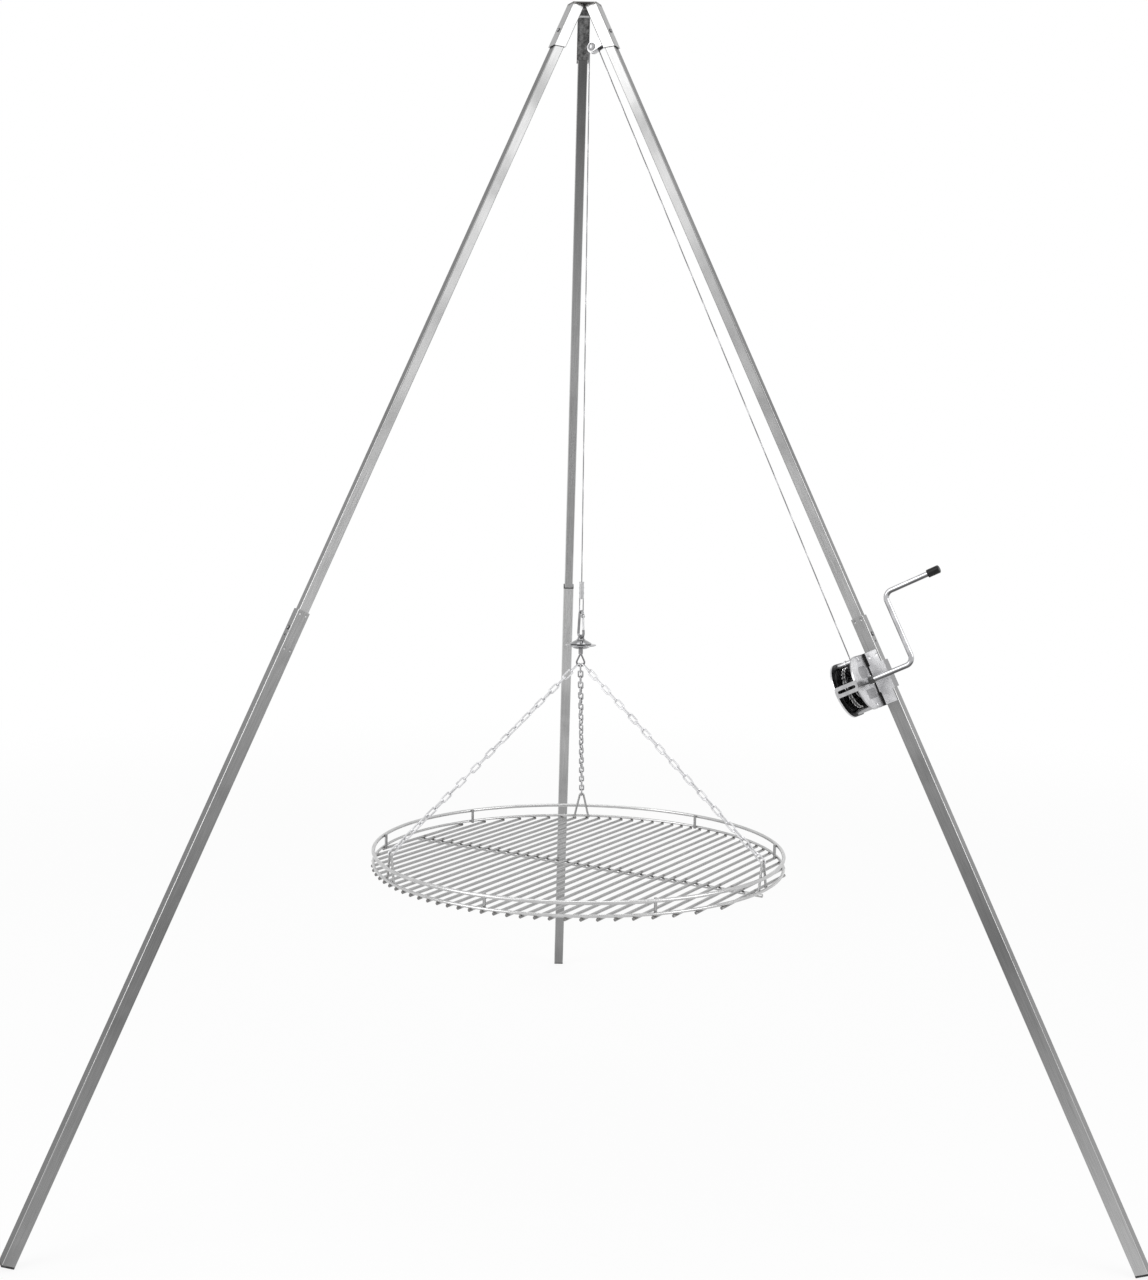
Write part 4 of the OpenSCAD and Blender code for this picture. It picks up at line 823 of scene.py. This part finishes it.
def makeRopeRun():
    start = Vector((wound["runX"], wound["layRadius"] - winch["offLeg"], winch["along"]))
    flatX, flatZ = pulleyX - start.x, pulleyS - start.z
    turn = math.atan2(flatX, flatZ) + math.asin(pulley["ropeRadius"] / math.hypot(flatX, flatZ))
    end = Vector((pulleyX + pulley["ropeRadius"] * math.cos(turn), 0,
                  pulleyS - pulley["ropeRadius"] * math.sin(turn)))
    points = []
    for i in range(wound["stepsPerTurn"]):
        a = math.radians(wound["wrap"]) * (i / wound["stepsPerTurn"] - 1)
        points.append(winchPlace @ Vector((start.x, wound["layRadius"] * math.cos(a),
                                           wound["layRadius"] * math.sin(a))))
    points += [legPlaces["right"] @ start, legPlaces["right"] @ end]
    out = outOf(azimuths["right"])
    centre = out * pulleyR + Vector((0, axisY, pulleyZ))
    arcFrom = lean - turn
    for i in range(1, pulley["arcSteps"] + 1):
        a = arcFrom + (math.pi - arcFrom) * i / pulley["arcSteps"]
        points.append(centre + (out * math.cos(a) + up * math.sin(a)) * pulley["ropeRadius"])
    shape = newShape()
    addRope(shape, points)
    makePiece("ropeRunStrands", shape, "rope", "tripod", ["rope_run"])


def makeRopeCoil():
    ends = 2 * math.pi * wound["turns"]
    count = round(wound["stepsPerTurn"] * wound["turns"])
    radius = wound["coilRadius"]
    points = []
    for i in range(count + 1):
        a = ends * i / count
        points.append(winchPlace @ Vector((wound["coilX"] + wound["pitch"] * a / (2 * math.pi),
                                           -radius * math.cos(a), -radius * math.sin(a))))
    shape = newShape()
    addRope(shape, points)
    makePiece("ropeCoilStrands", shape, "woundRope", "drum", ["rope_coil"])


drop = {"top": 1.8111, "bottom": 0.960, "leadGap": 0.0003, "leadLength": 0.006, "intoFerrule": 0.004}


def hangingRope(name, top, bottom, body, stands):
    shape = newShape()
    below = Vector((hoistAt.x, hoistAt.y, bottom))
    startTurn = 2 * math.pi * (bottom - drop["bottom"]) / rope["lay"]
    addRope(shape, [below, below + up * (top - bottom)], startTurn)
    return makePiece(name, shape, "rope", body, stands)


def makeHangingRope():
    leadTop = pulleyZ - drop["leadGap"]
    hangingRope("ropeLeadStrands", leadTop, leadTop - drop["leadLength"], "rope_swing",
                ["rope_lead_upper"])
    lowerTop = drop["top"] + drop["leadGap"] + drop["leadLength"]
    piece = hangingRope("ropeDropStrands", lowerTop, drop["bottom"] - drop["intoFerrule"], None,
                        ["rope_lead_lower", "rope_drop"])
    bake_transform(piece)


hook = {"z": 0.9105, "turn": 120, "loopRadius": 0.00355, "loopTop": 0.931, "loopSteps": 18}


def makeRopeLoop():
    place = Matrix.Translation((hoistAt.x, hoistAt.y, hook["z"])) @ Matrix.Rotation(
        math.radians(hook["turn"] - 90), 4, "Z")
    leg = hook["loopTop"] - hook["z"]
    radius, steps = hook["loopRadius"], hook["loopSteps"]
    points = [Vector((-radius, 0, leg))]
    for i in range(steps + 1):
        a = math.pi + math.pi * i / steps
        points.append(Vector((radius * math.cos(a), 0, radius * math.sin(a))))
    points.append(Vector((radius, 0, leg)))
    shape = newShape()
    addRope(shape, [place @ p for p in points])
    makePiece("ropeLoopStrands", shape, "rope", "hoist", ["rope_loop"])


makeRopeRun()
makeRopeCoil()
makeHangingRope()
makeRopeLoop()
print("stage: wire rope")

# Weld beads on the hub, and weld spots on the grate
hubWeld = {"radius": 0.0011, "ripple": 0.0012, "rippleHeight": 0.12, "ringsPerRipple": 4, "sides": 10,
           "down": 0.0026, "reach": 0.86, "thinEnd": 0.35, "taper": 1 / 6}
grateWeld = {"bar": (0.0027, 0.0023, 0.0011), "cross": (0.0018, 0.0020, 0.0012),
             "post": (0.0010, 0.0019, 0.0024), "hanger": (0.0014, 0.0018, 0.0024), "crossInset": 0.008,
             "ringZ": 0.48646, "rise": 0.020, "barPitch": 0.0205, "barsEachSide": 16,
             "postTurns": (37, 81), "hangerSpread": 0.014, "seat": 0.0001,
             "ringWire": 0.005, "upperWire": 0.006, "barWire": 0.005}


def addBead(shape, start, end):
    length = (end - start).length
    waves = max(2, round(length / hubWeld["ripple"]))
    thin = hubWeld["thinEnd"]

    def size(share):
        grown = max(0, min(1, share / hubWeld["taper"], (1 - share) / hubWeld["taper"]))
        rippled = 1 + hubWeld["rippleHeight"] * abs(math.sin(math.pi * waves * share))
        return hubWeld["radius"] * (thin + (1 - thin) * math.sqrt(grown)) * rippled

    count = waves * hubWeld["ringsPerRipple"]
    addTube(shape, [start.lerp(end, i / count) for i in range(count + 1)], size, hubWeld["sides"])


def makeHubWelds():
    shape = newShape()
    half = tripod["tube"] / 2
    flat = half - tripod["tubeRound"]
    z = tripod["height"] - hubWeld["down"]

    def onSide(side, sign, x):
        s = (z - footHeight - x * math.sin(lean)) / math.cos(lean)
        return legPlaces[side] @ Vector((x, sign * half, s))

    for first, second in (("left", "right"), ("right", "rear"), ("rear", "left")):
        inner = (onSide(first, 1, -flat) + onSide(second, -1, -flat)) / 2
        for corner in (onSide(first, 1, flat), onSide(second, -1, flat)):
            addBead(shape, corner, corner.lerp(inner, hubWeld["reach"]))
    makePiece("hubWelds", shape, "weld", "tripod")


def makeGrateWelds():
    w = grateWeld
    shape = newShape()
    stackWay = up.cross(barWay)
    joinZ = w["ringZ"] - w["ringWire"] / 2 - w["seat"] / 2
    crossZ = joinZ - w["barWire"] - w["seat"]
    radius = grate["ringRadius"]

    def addSpot(kind, at, first, second):
        addBlob(shape, placing(hoistAxis + at, (first, second, up)), w[kind])

    for i in range(-w["barsEachSide"], w["barsEachSide"] + 1):
        offset = i * w["barPitch"]
        if abs(offset) > radius - w["ringWire"]:
            continue
        reach = math.sqrt(radius ** 2 - offset ** 2)
        for sign in (-1, 1):
            addSpot("bar", barWay * reach * sign + stackWay * offset + up * joinZ, barWay, stackWay)
        if abs(offset) < radius - w["crossInset"]:
            addSpot("cross", stackWay * offset + up * crossZ, barWay, stackWay)
    postAt = radius - max(w["ringWire"], w["upperWire"]) / 2 - w["seat"] / 2
    hangerAt = radius - w["ringWire"] / 2 - w["seat"] / 2
    for azimuth in azimuths.values():
        for extra in w["postTurns"]:
            out = outOf(azimuth + grate["turn"] + extra)
            for z in (w["ringZ"], w["ringZ"] + w["rise"]):
                addSpot("post", out * postAt + up * z, out, up.cross(out))
        out = outOf(azimuth + grate["turn"])
        for sign in (-1, 1):
            aside = up.cross(out) * w["hangerSpread"] * sign
            addSpot("hanger", out * hangerAt + aside + up * w["ringZ"], out, up.cross(out))
    makePiece("grateWelds", shape, "weld", "grate")


makeHubWelds()
makeGrateWelds()
print("stage: welds")

# Fasteners: domed pulley bolt, cross-slotted winch screws and hexagon bolts
pulleyBolt = {"head": 0.00625, "headHeight": 0.003, "cheek": 0.0064, "shank": 0.0025, "rim": 0.99,
              "nutHeight": 0.004, "nutAcross": 0.00875, "nutFlats": 0.75, "nutChamfer": 0.0006,
              "collar": 0.42, "collarFrom": 0.7, "collarRound": (0.0005, 0.0004), "threadFrom": 0.9,
              "past": 0.0010, "threadPitch": 0.0008}
winchScrew = {"head": 0.0038, "headHeight": 0.0024, "rimShare": 0.35, "rings": 10, "segments": 48,
              "shank": 0.002, "length": 0.012, "threadPitch": 0.0007,
              "slotLength": 0.0042, "slotWidth": 0.0008, "slotDepth": 0.0012,
              "y": 0.010, "z": (-0.0365, 0.0365), "faces": {1: -0.0140, -1: -0.0495}}
mountBolt = {"across": 0.008, "height": 0.0032, "chamfer": 0.0005, "shank": 0.0025, "length": 0.0130,
             "threadPitch": 0.0008, "spacing": 0.030, "face": -0.0165}


def addHexagon(shape, place, across, height, chamfer):
    corner = across / 2 / math.cos(math.radians(30))
    profile = [(corner - chamfer, 0), (corner, chamfer * 0.6), (corner, height - chamfer * 0.6),
               (corner - chamfer, height)]
    addLathe(shape, profile, place, 6)


def addThread(shape, place, radius, start, end, pitch):
    profile, z = [(0, start)], start
    while z < end - pitch:
        profile += [(radius - pitch * 0.3, z), (radius, z + pitch / 2)]
        z += pitch
    profile += [(radius - pitch * 0.5, end), (0, end)]
    addLathe(shape, profile, place, 24)


def makePulleyBolt():
    b = pulleyBolt
    shape = newShape()
    place = legPlaces["right"] @ Matrix.Translation((pulleyX, 0, pulleyS)) @ Matrix.Rotation(
        math.radians(-90), 4, "X")
    base = -b["cheek"]
    dome = [(b["head"] * math.cos(a), base - b["headHeight"] * math.sin(a))
            for a in [math.radians(d) for d in range(12, 90, 6)]]
    profile = [(0, base), (b["head"] * b["rim"], base)] + dome + [(0, base - b["headHeight"])]
    addLathe(shape, profile, place, 48)
    addLathe(shape, [(0, base), (b["shank"], base), (b["shank"], b["cheek"]), (0, b["cheek"])], place, 32)
    nut = place @ Matrix.Translation((0, 0, b["cheek"]))
    top = b["nutHeight"]
    addHexagon(shape, nut, b["nutAcross"], top * b["nutFlats"], b["nutChamfer"])
    collar, low = b["nutAcross"] * b["collar"], top * b["collarFrom"]
    inward, down = b["collarRound"]
    addLathe(shape, [(0, low), (collar, low), (collar, top - down), (collar - inward, top), (0, top)],
             nut, 32)
    addThread(shape, nut, b["shank"], top * b["threadFrom"], top + b["past"], b["threadPitch"])
    makePiece("pulleyBoltDomed", shape, "shadedZinc", "tripod", ["pulley_bolt"])


def addCrossHead(shape, place):
    # rounded head, with rings that dip where the cross lies
    s = winchScrew
    first, segments = len(shape["points"]), s["segments"]
    quarter = math.radians(90)
    for i in range(s["rings"] + 1):
        rest = quarter * (1 - i / s["rings"])
        r = s["head"] * math.sin(rest)
        h = s["headHeight"] * (s["rimShare"] + (1 - s["rimShare"]) * math.cos(rest))
        for turn in turnsOf(segments):
            point = onCircle(r, turn, h)
            near, far = sorted((abs(point.x), abs(point.y)))
            if near < s["slotWidth"] / 2 and far < s["slotLength"] / 2:
                point.z -= s["slotDepth"]
            shape["points"].append(place @ point)
    for i in range(s["rings"]):
        addBand(shape, first + i * segments, first + (i + 1) * segments, segments)
    base = len(shape["points"])
    for turn in turnsOf(segments):
        shape["points"].append(place @ onCircle(s["head"], turn))
    addBand(shape, base, first, segments)
    addCap(shape, base, segments, turnedOver=True)


def makeWinchScrews():
    s = winchScrew
    shape = newShape()
    for z in s["z"]:
        for sign, x in s["faces"].items():
            place = winchPlace @ Matrix.Translation((x, s["y"], z)) @ Matrix.Rotation(
                math.radians(90) * sign, 4, "Y")
            addCrossHead(shape, place)
            addThread(shape, place, s["shank"], -s["length"], 0.0, s["threadPitch"])
    makePiece("winchScrewsCross", shape, "zinc", "tripod", ["winch_screws"])


def makeMountBolts():
    b = mountBolt
    shape = newShape()
    for sign in (-1, 1):
        at = Vector((b["face"], 0, winch["along"] + sign * b["spacing"] / 2))
        place = legPlaces["right"] @ Matrix.Translation(at) @ Matrix.Rotation(math.radians(-90), 4, "Y")
        addHexagon(shape, place, b["across"], b["height"], b["chamfer"])
        addThread(shape, place, b["shank"], -b["length"], 0.0, b["threadPitch"])
    makePiece("mountBoltsHex", shape, "zinc", "tripod", ["winch_mount_bolts"])


makePulleyBolt()
makeWinchScrews()
makeMountBolts()
print("stage: fasteners")
